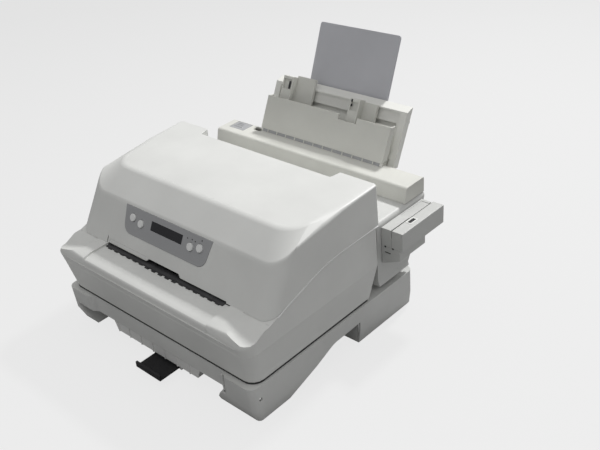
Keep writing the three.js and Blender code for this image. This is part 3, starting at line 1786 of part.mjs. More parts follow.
function buildSockets() {
  const face = rearWallAt(inletZ);
  const inletBody = block(
    [inletX - inletWidth / 2, inletX + inletWidth / 2],
    [face - wall * 7, face + wall * 1.5],
    [inletZ - inletHeight / 2, inletZ + inletHeight / 2],
  );
  const inletHollow = block(
    [inletX - inletWidth / 3, inletX + inletWidth / 3],
    [face - wall * 4, face + overrun],
    [inletZ - inletHeight / 3, inletZ + inletHeight / 3],
  );
  const blade = (x) => block(
    [x - wall / 4, x + wall / 4],
    [face - wall * 5, face],
    [inletZ - wall, inletZ + wall],
  );
  add(
    "power_inlet",
    join(
      cut(inletBody, inletHollow),
      blade(inletX - inletWidth / 6),
      blade(inletX),
      blade(inletX + inletWidth / 6),
    ),
    finishes.black,
  );
  const socketBody = block(
    [socketX - socketWidth / 2, socketX + socketWidth / 2],
    [face - wall * 5, face + wall * 1.5],
    [inletZ - socketHeight / 2, inletZ + socketHeight / 2],
  );
  const socketHollow = block(
    [socketX - socketWidth / 3, socketX + socketWidth / 3],
    [face - wall * 2, face + overrun],
    [inletZ - socketHeight / 4, inletZ + socketHeight / 4],
  );
  add("interface_socket", cut(socketBody, socketHollow), finishes.steel);
  const bezel = block(
    [switchX - switchWidth / 2, switchX + switchWidth / 2],
    [face - wall * 5, face + wall],
    [inletZ - switchHeight / 2, inletZ + switchHeight / 2],
  );
  const rockerGap = block(
    [switchX - switchWidth / 2 + wall / 1.5, switchX + switchWidth / 2 - wall / 1.5],
    [face - wall * 4, face + overrun],
    [inletZ - switchHeight / 2 + wall / 1.5, inletZ + switchHeight / 2 - wall / 1.5],
  );
  add("switch_bezel", cut(bezel, rockerGap), finishes.black);
  const rockerHalf = switchHeight / 2 - wall / 1.5 - runningGap;
  const dish = rockerHalf * Math.tan(THREE.MathUtils.degToRad(switchTilt / 2));
  const rockerProfile = [
    [-wall, -rockerHalf * 0.5],
    [runningGap + dish, -rockerHalf * 0.92],
    [runningGap, 0],
    [runningGap + dish, rockerHalf * 0.92],
    [-wall, rockerHalf * 0.5],
  ].map(([along, up]) => {
    const point = new THREE.Vector2(along + wall, up);
    point.rotateAround(new THREE.Vector2(), THREE.MathUtils.degToRad(-switchTilt / 2));
    return [face - wall + point.x, inletZ + point.y];
  });
  const rocker = prism("x", rockerProfile, [
    switchX - switchWidth / 2 + wall / 1.5 + runningGap,
    switchX + switchWidth / 2 - wall / 1.5 - runningGap,
  ]);
  add("power_rocker", rocker, finishes.black);
}

function buildBeam() {
  const base = deckZ + seat;
  const profile = rounded([
    [beamFrontY, base],
    [deckRearY, base],
    [deckRearY, beamTopZ, beamRadius / 2],
    [beamFrontY + beamFrontLean, beamTopZ, beamRadius],
  ]);
  const rearReach = hopperFootY + housingRear / Math.cos(leanAngle) + wall;
  const shelf = prism(
    "x",
    [
      [deckRearY - wall, base + wall],
      [deckRearY, base + wall],
      [rearReach, beamTopZ - wall],
      [rearReach, beamTopZ],
      [deckRearY - wall, beamTopZ],
    ],
    [hopperCentre - shelfHalf, hopperCentre + shelfHalf],
  );
  const inner = block(
    [-beamHalf + wall, beamHalf - wall],
    [beamFrontY + beamFrontLean + wall, deckRearY - wall],
    [base - overrun, beamTopZ - wall],
  );
  const label = block(
    [labelLeft, labelLeft + labelWidth],
    [deckRearY - beamRadius / 2 - labelDepth, deckRearY - beamRadius / 2],
    [beamTopZ - labelSink, beamTopZ + overrun],
  );
  const hole = block(
    [beamHoleLeft, beamHoleLeft + beamHoleWidth],
    [deckRearY - beamHoleDepth - wall, deckRearY - wall * 1.5],
    [beamTopZ - overrun * 2, beamTopZ + overrun],
  );
  const feedOpening = block(
    [hopperCentre - housingHalf - runningGap, hopperCentre + housingHalf + runningGap],
    [deckRearY + seat, hopperFootY + (housingRear - frameWall) / Math.cos(leanAngle) - runningGap],
    [base - overrun, beamTopZ + overrun],
  );
  const beam = cut(
    join(cut(prism("x", profile, [-beamHalf, beamHalf]), inner), shelf),
    label,
    hole,
    feedOpening,
  );
  add("feeder_beam", beam, finishes.feederCream);
}

// Leans a solid drawn upright at the hopper's foot: x to the right, y back from the front plate, z up.
const leanAngle = THREE.MathUtils.degToRad(hopperLean);

function leaned(solid) {
  const matrix = new THREE.Matrix4().makeRotationX(-leanAngle);
  matrix.setPosition(hopperCentre, hopperFootY, beamTopZ);
  return solid.transform(matrix.elements);
}

// The foot line of the hopper in its own leaning frame: it stands on the beam's level top.
function standingLine(depth) {
  return depth * Math.tan(leanAngle) + seat;
}

function buildHopper() {
  const plate = prism(
    "y",
    [
      [-plateHalf, plateBottom],
      [plateHalf, plateBottom],
      [plateHalf, plateTop],
      [plateNotchRight, plateTop],
      [plateNotchRight, plateTop - plateNotchDepth],
      [plateNotchLeft, plateTop - plateNotchDepth],
      [plateNotchLeft, plateTop],
      [-plateHalf, plateTop],
    ],
    [0, plateThickness],
  );
  const returns = [-1, 1].map((side) =>
    prism(
      "x",
      [
        [0, plateBottom],
        [plateReturn, plateBottom + standingLine(plateReturn)],
        [plateReturn, plateTop + plateReturnRise],
        [plateThickness, plateTop],
        [0, plateTop],
      ],
      sorted(side * (plateHalf - plateThickness), side * plateHalf),
    ),
  );
  add("hopper_front_plate", leaned(join(plate, ...returns)), finishes.feederCream);
  add("hopper_frame", leaned(hopperFrame()), finishes.feederCream);
  const wheels = wheelPlaces().map((x) =>
    bar(
      "x",
      [pickupDepth, pickupHeight],
      pickupRadius,
      [x - rollerLength / 2, x + rollerLength / 2],
      roundSides,
    ),
  );
  const shaftSpan = [-housingHalf - seat, housingHalf + seat];
  const shaft = bar("x", [pickupDepth, pickupHeight], pickupShaftRadius, shaftSpan, smallSides);
  add("pickup_roller", leaned(join(shaft, ...wheels)), finishes.rubber);
  const knobFace = frameRear + seat;
  const knob = join(
    bar("y", [knobX, knobHeight], knobRadius, [knobFace, knobFace + knobLength], roundSides),
    bar(
      "y",
      [knobX, knobHeight],
      pickupShaftRadius / 2,
      [frameRear - frameWall - seat, knobFace + seat],
      smallSides,
    ),
  );
  const groove = block(
    [knobX - knobGrooveWidth / 2, knobX + knobGrooveWidth / 2],
    [knobFace + knobLength - labelSink, knobFace + knobLength + overrun],
    [knobHeight, knobHeight + knobRadius + overrun],
  );
  add("lock_knob", leaned(cut(knob, groove)), finishes.black);
}

const bedFace = bedDepth + bedRecess;
const pickupDepth = bedFace + pickupRadius - pickupProud;
const knobX = frameHalf - frameWall - knobRadius;

function wheelPlaces() {
  return [-2, -1, 1, 2].map((i) => (i * plateHalf) / 3);
}

// The hopper's frame: a hollow slab with a sunk bed, a roller housing and the rails of the paper support.
function hopperFrame() {
  const slab = prism(
    "x",
    [
      [bedDepth, standingLine(bedDepth)],
      [frameRear, standingLine(frameRear)],
      [frameRear, frameTop],
      [bedDepth, bedTop],
    ],
    [-frameHalf, frameHalf],
  );
  const cheeks = [-1, 1].map((side) =>
    prism(
      "x",
      [
        [bedDepth, cheekFoot],
        [frameRear, cheekFoot + cheekFootRise],
        [frameRear, bedTop],
        [bedDepth, bedTop],
      ],
      sorted(side * (shelfHalf + runningGap), side * frameHalf),
    ),
  );
  const housing = prism(
    "x",
    [
      [frameRear - frameWall, standingLine(frameRear)],
      [housingRear, standingLine(housingRear)],
      [housingRear, housingTop - frameWall],
      [frameRear - frameWall, housingTop],
    ],
    [-housingHalf, housingHalf],
  );
  const slabHollow = prism(
    "x",
    [
      [bedFace + frameWall, cheekFoot - overrun],
      [frameRear - frameWall, cheekFoot - overrun],
      [frameRear - frameWall, frameTop - frameWall * 2],
      [bedFace + frameWall, bedTop - frameWall],
    ],
    [-frameHalf + frameWall, frameHalf - frameWall],
  );
  const housingHollow = block(
    [-housingHalf + frameWall, housingHalf - frameWall],
    [bedFace + frameWall, housingRear - frameWall],
    [cheekFoot - overrun, housingTop - frameWall * 2],
  );
  const bedHollow = prism(
    "y",
    rounded([
      [-frameHalf + cheekWidth, cheekFoot - overrun],
      [frameHalf - cheekWidth, cheekFoot - overrun],
      [frameHalf - cheekWidth, bedTop - bedRim, bedCornerRadius],
      [-frameHalf + cheekWidth, bedTop - bedRim, bedCornerRadius],
    ]),
    [bedDepth - overrun, bedFace],
  );
  const bearingStep = housingRear - frameWall - runningGap * 2;
  const bearings = [-1, 1].map((side) =>
    prism(
      "x",
      [
        [bedFace + frameWall / 2, bearingFoot],
        [pickupDepth + pickupShaftRadius * 2, bearingFoot],
        [bearingStep, standingLine(bearingStep)],
        [housingRear, standingLine(housingRear)],
        [housingRear, housingTop - frameWall],
        [bedFace + frameWall / 2, housingTop],
      ],
      sorted(side * (housingHalf - frameWall), side * housingHalf),
    ),
  );
  const stripFront = plateThickness / 2;
  const stripTop = plateBottom - seat;
  const strip = prism(
    "x",
    [
      [stripFront, standingLine(stripFront)],
      [stripFront + ribStripDepth, standingLine(stripFront + ribStripDepth)],
      [stripFront + ribStripDepth, stripTop],
      [stripFront, stripTop],
    ],
    [-plateHalf, plateHalf],
  );
  const toeHeight = frameWall * 2;
  const toes = [-1, 1].map((side) =>
    prism(
      "x",
      [
        [stripFront, standingLine(stripFront)],
        [bedFace + frameWall / 2, standingLine(bedFace + frameWall / 2)],
        [bedFace + frameWall / 2, standingLine(bedFace) + toeHeight],
        [plateReturn, standingLine(plateReturn) + plateBottom - seat],
        [plateThickness + seat, stripTop],
        [stripFront, stripTop],
      ],
      sorted(side * (plateHalf - cheekWidth), side * (plateHalf - cheekWidth + frameWall)),
    ),
  );
  const ribCount = Math.floor((plateHalf * 2) / ribPitch);
  const ribs = Array.from({ length: ribCount }, (_, i) => {
    const x = -plateHalf + ribPitch / 2 + i * ribPitch;
    return block(
      [x - ribWidth / 2, x + ribWidth / 2],
      [stripFront - ribWidth / 2, stripFront + ribWidth],
      [standingLine(stripFront + ribWidth), stripTop],
    );
  });
  const wheelWindows = wheelPlaces().map((x) =>
    block(
      [x - rollerLength / 2 - runningGap * 2, x + rollerLength / 2 + runningGap * 2],
      [bedFace - overrun, bedFace + frameWall + overrun],
      [cheekFoot - overrun, pickupHeight + pickupRadius + runningGap],
    ),
  );
  const bearingHoles = bar(
    "x",
    [pickupDepth, pickupHeight],
    pickupShaftRadius + shaftClearance,
    [-housingHalf - overrun, housingHalf + overrun],
    smallSides,
  );
  const guideSlot = block(
    [-guideSlotHalf, guideSlotHalf],
    [bedFace - overrun, bedFace + frameWall + seat],
    [guideSlotZ - guideSlotHeight / 2, guideSlotZ + guideSlotHeight / 2],
  );
  const knobHole = bar(
    "y",
    [knobX, knobHeight],
    pickupShaftRadius / 2 + shaftClearance,
    [frameRear - frameWall - seat, frameRear + overrun],
    smallSides,
  );
  const shell = cut(join(slab, ...cheeks, housing), slabHollow, housingHollow, bedHollow);
  const whole = join(shell, ...bearings, strip, ...toes, ...ribs, ...supportRails());
  return cut(whole, ...wheelWindows, bearingHoles, guideSlot, knobHole);
}

// Two rails behind the hopper's frame, which the paper support slides down between.
function supportRails() {
  const low = boardFootHeight - boardTravel - runningGap;
  const channel = prism(
    "x",
    [
      [boardDepthAt(low) - seat, low],
      [boardDepthAt(low) + boardThickness + seat, low],
      [boardDepthAt(frameTop) + boardThickness + seat, frameTop],
      [boardDepthAt(frameTop) - seat, frameTop],
    ],
    [boardShift - boardHalf - seat * 2, boardShift + boardHalf + seat * 2],
  );
  return [-1, 1].map((side) => {
    const edge = boardShift + side * boardHalf;
    const rail = prism(
      "x",
      [
        [frameRear - frameWall / 2, low - frameWall],
        [boardDepthAt(low) + boardThickness + frameWall, low - frameWall],
        [boardDepthAt(holderTop) + boardThickness + frameWall, holderTop],
        [frameRear - frameWall / 2, holderTop],
      ],
      sorted(edge - side * holderLip, edge + side * (holderWidth - holderLip)),
    );
    return cut(rail, channel);
  });
}

// A paper guide: a side block and a flat wing on the bed, held by a neck and a head through the slot.
function guideSolid({ x, bodyWidth, bodyTop, wingWidth, wingTop }) {
  const face = bedDepth - runningGap;
  const body = prism(
    "x",
    rounded([
      [guideFront, guideFoot + guideFront],
      [face, guideFoot],
      [face, bodyTop],
      [guideFront, bodyTop, wall / 2],
    ]),
    [x, x + bodyWidth],
  );
  const window = block(
    [x + wall, x + bodyWidth - wall],
    [guideFront - overrun, guideFront + wall],
    [bodyTop - bodyWidth, bodyTop - wall * 2],
  );
  const wingEnd = x + bodyWidth + wingWidth;
  const wing = block(
    [x + bodyWidth - wall / 2, wingEnd],
    [face - guideWingThickness, face],
    [guideFoot, wingTop],
  );
  const wingRim = block(
    [wingEnd - wall, wingEnd],
    [face - guideWingThickness * 2, face],
    [guideFoot, wingTop],
  );
  const middle = x + bodyWidth;
  const neckHalf = guideNeckLength / 2;
  const neck = block(
    [middle - neckHalf, middle + neckHalf],
    [face - seat, bedFace + frameWall + runningGap * 2],
    [guideSlotZ - guideSlotHeight / 2 + runningGap, guideSlotZ + guideSlotHeight / 2 - runningGap],
  );
  const headHalf = guideSlotHeight / 2 + guideHeadMargin;
  const head = block(
    [middle - neckHalf, middle + neckHalf],
    [bedFace + frameWall + runningGap, bedFace + frameWall + runningGap + guideHeadThickness],
    [guideSlotZ - headHalf, guideSlotZ + headHalf],
  );
  return cut(join(body, wing, wingRim, neck, head), window);
}

function buildGuides() {
  add("paper_guide_left", leaned(guideSolid(leftGuide)), finishes.feederCream);
  add("paper_guide_right", leaned(guideSolid(rightGuide)), finishes.feederCream);
}

// The paper support leans a little less than the hopper, so it comes forward as it rises.
const boardAngle = THREE.MathUtils.degToRad(boardLean);

function boardDepthAt(height) {
  return boardFootDepth - (height - boardFootHeight) * Math.tan(leanAngle - boardAngle);
}

function buildPaperSupport() {
  const sheet = prism(
    "y",
    rounded([
      [boardShift - boardHalf, 0],
      [boardShift + boardHalf, 0],
      [boardShift + boardHalf, boardLength, boardRadius],
      [boardShift - boardHalf, boardLength, boardRadius],
    ]),
    [0, boardThickness],
  );
  const foot = new THREE.Matrix4().makeRotationX(leanAngle - boardAngle);
  foot.setPosition(0, boardFootDepth, boardFootHeight);
  add("paper_support", leaned(sheet.transform(foot.elements)), finishes.boardGrey);
}

function buildReader() {
  const y = [readerFrontY, readerRearY];
  const slotInner = readerSlotX - readerSlotWidth / 2;
  const slotOuter = readerSlotX + readerSlotWidth / 2;
  const slotFloor = readerTopZ - readerSlotDepth;
  const joinX = (slotInner + slotOuter) / 2;
  const lower = block([readerInner, joinX - seat / 2], y, [readerBottomZ, slotFloor]);
  const inner = block([readerInner, slotInner], [y[0], y[1] - wall], [slotFloor - wall, readerTopZ]);
  const step = block(
    [readerInner + wall, slotInner + overrun],
    [readerFrontY + (readerRearY - readerFrontY) * 0.42, readerRearY - wall * 3],
    [readerTopZ - labelSink, readerTopZ + overrun],
  );
  add("reader_inner_block", cut(join(lower, inner), step), finishes.caseWhite);
  const outerLow = block([joinX + seat / 2, readerOuter], y, [readerBottomZ, slotFloor]);
  const outerTop = prism(
    "y",
    rounded([
      [slotOuter, slotFloor - wall],
      [readerOuter, slotFloor - wall],
      [readerOuter, readerTopZ, wall / 2],
      [slotOuter, readerTopZ],
    ]),
    y,
  );
  const windowHole = block(
    [slotOuter + wall * 1.2, slotOuter + wall * 1.2 + readerWindowWidth],
    [readerWindowY, readerWindowY + readerWindowLength],
    [readerTopZ - wall, readerTopZ + overrun],
  );
  add("reader_outer_block", cut(join(outerLow, outerTop), windowHole), finishes.caseWhite);
  const lens = block(
    [slotOuter + wall * 1.2 + seat, slotOuter + wall * 1.2 + readerWindowWidth - seat],
    [readerWindowY + seat, readerWindowY + readerWindowLength - seat],
    [readerTopZ - wall + seat, readerTopZ - labelSink],
  );
  add("reader_window", lens, finishes.display);
  const bracketTop = readerBottomZ - seat;
  const bracket = prism(
    "y",
    [
      [readerInner, bracketTop],
      [readerInner, bracketBottomZ - bracketSlope],
      [readerOuter - wall * 2, bracketBottomZ],
      [readerOuter - wall * 2, bracketTop],
    ].toReversed(),
    [readerFrontY + seat, readerFrontY + bracketDepth],
  );
  const bracketHollow = prism(
    "y",
    [
      [readerInner - overrun, bracketTop - wall],
      [readerInner - overrun, bracketBottomZ],
      [readerOuter - wall * 3, bracketBottomZ + wall * 2],
      [readerOuter - wall * 3, bracketTop - wall],
    ].toReversed(),
    [readerFrontY + wall, readerFrontY + bracketDepth + overrun],
  );
  add("reader_bracket", cut(bracket, bracketHollow), finishes.caseWhite);
}

buildStand();
buildTray();
buildLowerCase();
buildCover();
buildControlPanel();
buildSlotLip();
hingePins();
buildChassis();
buildPaperPath();
buildFeedDrive();
buildCarriage();
buildElectronics();
buildRearCase();
buildSockets();
buildBeam();
buildHopper();
buildGuides();
buildPaperSupport();
buildReader();

// The finished frame: the origin lies under the middle of the machine, on the counter.
const reach = new THREE.Box3().setFromObject(machine);
machine.position.set(-(reach.min.x + reach.max.x) / 2, -(reach.min.y + reach.max.y) / 2, -reach.min.z);

const part = new THREE.Group();
part.add(machine);

export default part;
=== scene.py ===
import json
import math

import bmesh
import bpy
from mathutils import Matrix, Vector

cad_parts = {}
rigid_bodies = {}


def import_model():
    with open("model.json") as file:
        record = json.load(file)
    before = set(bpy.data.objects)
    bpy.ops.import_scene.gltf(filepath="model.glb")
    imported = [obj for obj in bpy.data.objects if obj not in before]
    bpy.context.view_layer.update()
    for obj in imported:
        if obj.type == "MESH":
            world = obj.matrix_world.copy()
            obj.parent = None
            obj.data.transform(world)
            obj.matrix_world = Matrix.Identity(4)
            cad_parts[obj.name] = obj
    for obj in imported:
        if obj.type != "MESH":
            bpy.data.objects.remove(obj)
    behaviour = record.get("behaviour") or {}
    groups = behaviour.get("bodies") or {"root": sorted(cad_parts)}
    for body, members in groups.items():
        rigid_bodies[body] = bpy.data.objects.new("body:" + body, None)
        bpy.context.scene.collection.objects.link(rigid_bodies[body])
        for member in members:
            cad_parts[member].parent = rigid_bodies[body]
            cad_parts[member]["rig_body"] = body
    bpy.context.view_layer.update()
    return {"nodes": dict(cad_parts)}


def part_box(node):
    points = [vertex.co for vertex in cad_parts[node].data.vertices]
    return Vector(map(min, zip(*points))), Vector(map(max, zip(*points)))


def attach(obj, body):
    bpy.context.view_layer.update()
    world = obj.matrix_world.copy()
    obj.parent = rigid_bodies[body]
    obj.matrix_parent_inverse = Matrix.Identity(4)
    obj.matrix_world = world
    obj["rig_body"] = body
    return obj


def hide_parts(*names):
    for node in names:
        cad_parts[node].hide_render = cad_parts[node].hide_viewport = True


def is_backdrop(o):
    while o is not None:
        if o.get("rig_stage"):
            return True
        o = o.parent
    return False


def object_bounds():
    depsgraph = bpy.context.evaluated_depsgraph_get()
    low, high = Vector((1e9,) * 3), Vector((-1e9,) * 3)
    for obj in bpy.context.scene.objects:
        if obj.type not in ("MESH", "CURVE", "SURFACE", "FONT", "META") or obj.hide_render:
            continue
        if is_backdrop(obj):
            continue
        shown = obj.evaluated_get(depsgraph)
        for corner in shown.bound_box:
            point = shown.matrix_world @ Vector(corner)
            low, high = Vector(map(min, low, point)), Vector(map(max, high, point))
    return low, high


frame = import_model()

mm = 0.001

# Working frame in mm: x from the middle of the stand, y from the rear edge of the cover, z from the counter
standBehindCover = 77
standLow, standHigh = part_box("stand_frame")
middleX = (standLow.x + standHigh.x) / 2
rearLine = standHigh.y - standBehindCover * mm


def spot(x, y, z):
    return Vector((middleX + x * mm, rearLine + y * mm, z * mm))


def span(node):
    return [((p.x - middleX) / mm, (p.y - rearLine) / mm, p.z / mm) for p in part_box(node)]


# Node trees: a socket takes a plain value or another node's output
def addNode(tree, kind, inputs=None, **settings):
    node = tree.nodes.new("ShaderNode" + kind)
    for name, value in settings.items():
        setattr(node, name, value)
    for socket, value in (inputs or {}).items():
        if isinstance(value, bpy.types.NodeSocket):
            tree.links.new(value, node.inputs[socket])
        else:
            node.inputs[socket].default_value = value
    return node


def mathNode(tree, operation, *values, clamp=False):
    node = addNode(tree, "Math", dict(enumerate(values)), operation=operation, use_clamp=clamp)
    return node.outputs[0]


def grey(level):
    return (level, level, level, 1)


# Camera and studio
studio = {
    "eye": (800.7, -792.3, 778.1),  # mm in the working frame
    "right": (0.69653, 0.7087, -0.11222),  # the camera's own directions
    "down": (0.29857, -0.42847, -0.8528),
    "forward": (-0.65246, 0.5605, -0.51004),
    "sensor": 36,
    "lens": 51.5,
    "shiftX": 0.1255,
    "shiftY": 0.0053,
    "farClip": 50,
    "lampFrom": (0.02, 0.655, 0.756),  # direction from the printer to the softbox
    "lampAim": (0, 0, 0.15),
    "lampDistance": 1.9,
    "lampSize": 0.16,
    "lampPower": 25.5,
    "horizonLight": 0.19,
    "zenithLight": 0.92,
    "floorSize": 14,
    "floorDrop": 0.0004,
    "nearFloor": 0.858,
    "farFloor": 0.785,
    "floorReach": (-0.45, 1.5),  # where the floor's tone starts and ends its change, in metres
    "floorBounce": 0.38,
    "floorShadow": 0.10,
}


def buildCamera(rig):
    lens = bpy.data.cameras.new("photoLens")
    lens.lens = rig["lens"]
    lens.sensor_width = rig["sensor"]
    lens.shift_x = rig["shiftX"]
    lens.shift_y = rig["shiftY"]
    lens.clip_end = rig["farClip"]
    camera = bpy.data.objects.new("photoCamera", lens)
    bpy.context.scene.collection.objects.link(camera)
    right, down, forward = (Vector(rig[k]).normalized() for k in ("right", "down", "forward"))
    turn = Matrix((right, -down, -forward)).transposed().to_4x4()
    camera.matrix_world = Matrix.Translation(spot(*rig["eye"])) @ turn
    bpy.context.scene.camera = camera


def buildLamp(rig):
    softbox = bpy.data.lights.new("overheadSoftbox", "AREA")
    softbox.shape = "SQUARE"
    softbox.size = rig["lampSize"]
    softbox.energy = rig["lampPower"]
    lamp = bpy.data.objects.new("overheadSoftbox", softbox)
    bpy.context.scene.collection.objects.link(lamp)
    towards = Vector(rig["lampFrom"]).normalized()
    lamp.location = Vector(rig["lampAim"]) + towards * rig["lampDistance"]
    lamp.rotation_euler = towards.to_track_quat("Z", "Y").to_euler()


def buildRoom(rig):
    world = bpy.data.worlds.new("paleRoom")
    bpy.context.scene.world = world
    world.use_nodes = True
    tree = world.node_tree
    tree.nodes.clear()
    path = addNode(tree, "LightPath")
    where = addNode(tree, "TexCoord")
    split = addNode(tree, "SeparateXYZ", {0: where.outputs["Generated"]})
    rise = addNode(tree, "MapRange", {
        "Value": split.outputs["Z"], "To Min": rig["horizonLight"], "To Max": rig["zenithLight"],
    })
    ambient = addNode(tree, "Background", {"Strength": rise.outputs["Result"]})
    seen = addNode(tree, "Background", {"Color": grey(rig["farFloor"])})
    room = addNode(tree, "MixShader", {
        "Fac": path.outputs["Is Camera Ray"], 1: ambient.outputs[0], 2: seen.outputs[0],
    })
    addNode(tree, "OutputWorld", {0: room.outputs[0]})


def buildFloor(rig):
    bpy.ops.mesh.primitive_plane_add(size=rig["floorSize"], location=(0, 0, -rig["floorDrop"]))
    floor = bpy.context.object
    floor.name = "studioFloor"
    paint = bpy.data.materials.new("paleSweep")
    paint.use_nodes = True
    tree = paint.node_tree
    tree.nodes.clear()
    path = addNode(tree, "LightPath")
    where = addNode(tree, "TexCoord")
    along = addNode(tree, "VectorMath", {
        0: where.outputs["Object"], 1: (rig["forward"][0], rig["forward"][1], 0),
    }, operation="DOT_PRODUCT")
    near, far = rig["floorReach"]
    fade = addNode(tree, "MapRange", {
        "Value": along.outputs["Value"], "From Min": near, "From Max": far,
        "To Min": rig["nearFloor"], "To Max": rig["farFloor"],
    })
    flat = addNode(tree, "Emission", {"Color": fade.outputs["Result"]})
    lit = addNode(tree, "BsdfDiffuse", {"Color": grey(rig["nearFloor"])})
    bounce = addNode(tree, "BsdfDiffuse", {"Color": grey(rig["floorBounce"])})
    sweep = addNode(tree, "MixShader", {"Fac": rig["floorShadow"], 1: flat.outputs[0], 2: lit.outputs[0]})
    pick = addNode(tree, "MixShader", {
        "Fac": path.outputs["Is Camera Ray"], 1: bounce.outputs[0], 2: sweep.outputs[0],
    })
    addNode(tree, "OutputMaterial", {0: pick.outputs[0]})
    floor.data.materials.append(paint)
    floor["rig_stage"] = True


buildCamera(studio)
buildLamp(studio)
buildRoom(studio)
buildFloor(studio)
bpy.context.scene.view_settings.view_transform = "Standard"
print("camera, lamp and floor are in place")


# Shared surface effects, each a node group of masks and heights
def newGroup(name, inputs, outputs):
    group = bpy.data.node_groups.new(name, "ShaderNodeTree")
    for label, value in inputs.items():
        socket = group.interface.new_socket(label, in_out="INPUT", socket_type="NodeSocketFloat")
        socket.default_value = value
    for label in outputs:
        group.interface.new_socket(label, in_out="OUTPUT", socket_type="NodeSocketFloat")
    return group, group.nodes.new("NodeGroupInput"), group.nodes.new("NodeGroupOutput")


grainPattern = {
    "inputs": {"Grain Scale": 1400.0, "Mottle Scale": 14.0},
    "grainDetail": 3, "grainRough": 0.65, "cellShare": 0.5,
    "mottleDetail": 4, "mottleContrast": 2.2, "mottleOffset": -0.6,
}


def mouldedGrainGroup(pattern):
    group, start, end = newGroup("mouldedGrain", pattern["inputs"], ["Height", "Mottle"])
    place = addNode(group, "TexCoord").outputs["Object"]
    grain = addNode(group, "TexNoise", {
        "Vector": place, "Scale": start.outputs["Grain Scale"],
        "Detail": pattern["grainDetail"], "Roughness": pattern["grainRough"],
    })
    cells = addNode(group, "TexVoronoi", {"Vector": place, "Scale": start.outputs["Grain Scale"]})
    mottle = addNode(group, "TexNoise", {
        "Vector": place, "Scale": start.outputs["Mottle Scale"], "Detail": pattern["mottleDetail"],
    })
    height = mathNode(
        group, "MULTIPLY_ADD", cells.outputs["Distance"], pattern["cellShare"], grain.outputs["Fac"],
    )
    patches = mathNode(
        group, "MULTIPLY_ADD", mottle.outputs["Fac"], pattern["mottleContrast"], pattern["mottleOffset"],
        clamp=True,
    )
    group.links.new(height, end.inputs["Height"])
    group.links.new(patches, end.inputs["Mottle"])
    return group


edgePattern = {
    "inputs": {"Sharpness": 7.0, "Patchiness": 38.0},
    "patchDetail": 5, "raisedAbove": 0.53, "sunkBelow": 0.47,  # pointiness of rubbed edges and of crevices
}


def handledEdgeGroup(pattern):
    group, start, end = newGroup("handledEdge", pattern["inputs"], ["Edge", "Crevice"])
    place = addNode(group, "TexCoord").outputs["Object"]
    patch = addNode(group, "TexNoise", {
        "Vector": place, "Scale": start.outputs["Patchiness"], "Detail": pattern["patchDetail"],
    })
    pointed = addNode(group, "NewGeometry").outputs["Pointiness"]
    sharpness = start.outputs["Sharpness"]
    raised = mathNode(group, "SUBTRACT", pointed, pattern["raisedAbove"])
    raised = mathNode(group, "MULTIPLY", raised, sharpness, clamp=True)
    raised = mathNode(group, "MULTIPLY", raised, patch.outputs["Fac"], clamp=True)
    sunk = mathNode(group, "SUBTRACT", pattern["sunkBelow"], pointed)
    sunk = mathNode(group, "MULTIPLY", sunk, sharpness, clamp=True)
    group.links.new(raised, end.inputs["Edge"])
    group.links.new(sunk, end.inputs["Crevice"])
    return group


dustPattern = {
    "inputs": {"Amount": 0.3, "Drift Scale": 9.0},
    "driftDetail": 6, "upGain": 2.0, "upOffset": -1.0,  # dust lies where a face looks up
}


def settledDustGroup(pattern):
    group, start, end = newGroup("settledDust", pattern["inputs"], ["Veil"])
    where = addNode(group, "TexCoord")
    drift = addNode(group, "TexNoise", {
        "Vector": where.outputs["Object"], "Scale": start.outputs["Drift Scale"],
        "Detail": pattern["driftDetail"],
    })
    facing = addNode(group, "SeparateXYZ", {0: where.outputs["Normal"]}).outputs["Z"]
    up = mathNode(group, "MULTIPLY_ADD", facing, pattern["upGain"], pattern["upOffset"], clamp=True)
    veil = mathNode(group, "MULTIPLY", up, drift.outputs["Fac"])
    veil = mathNode(group, "MULTIPLY", veil, start.outputs["Amount"], clamp=True)
    group.links.new(veil, end.inputs["Veil"])
    return group


mouldedGrain = mouldedGrainGroup(grainPattern)
handledEdge = handledEdgeGroup(edgePattern)
settledDust = settledDustGroup(dustPattern)


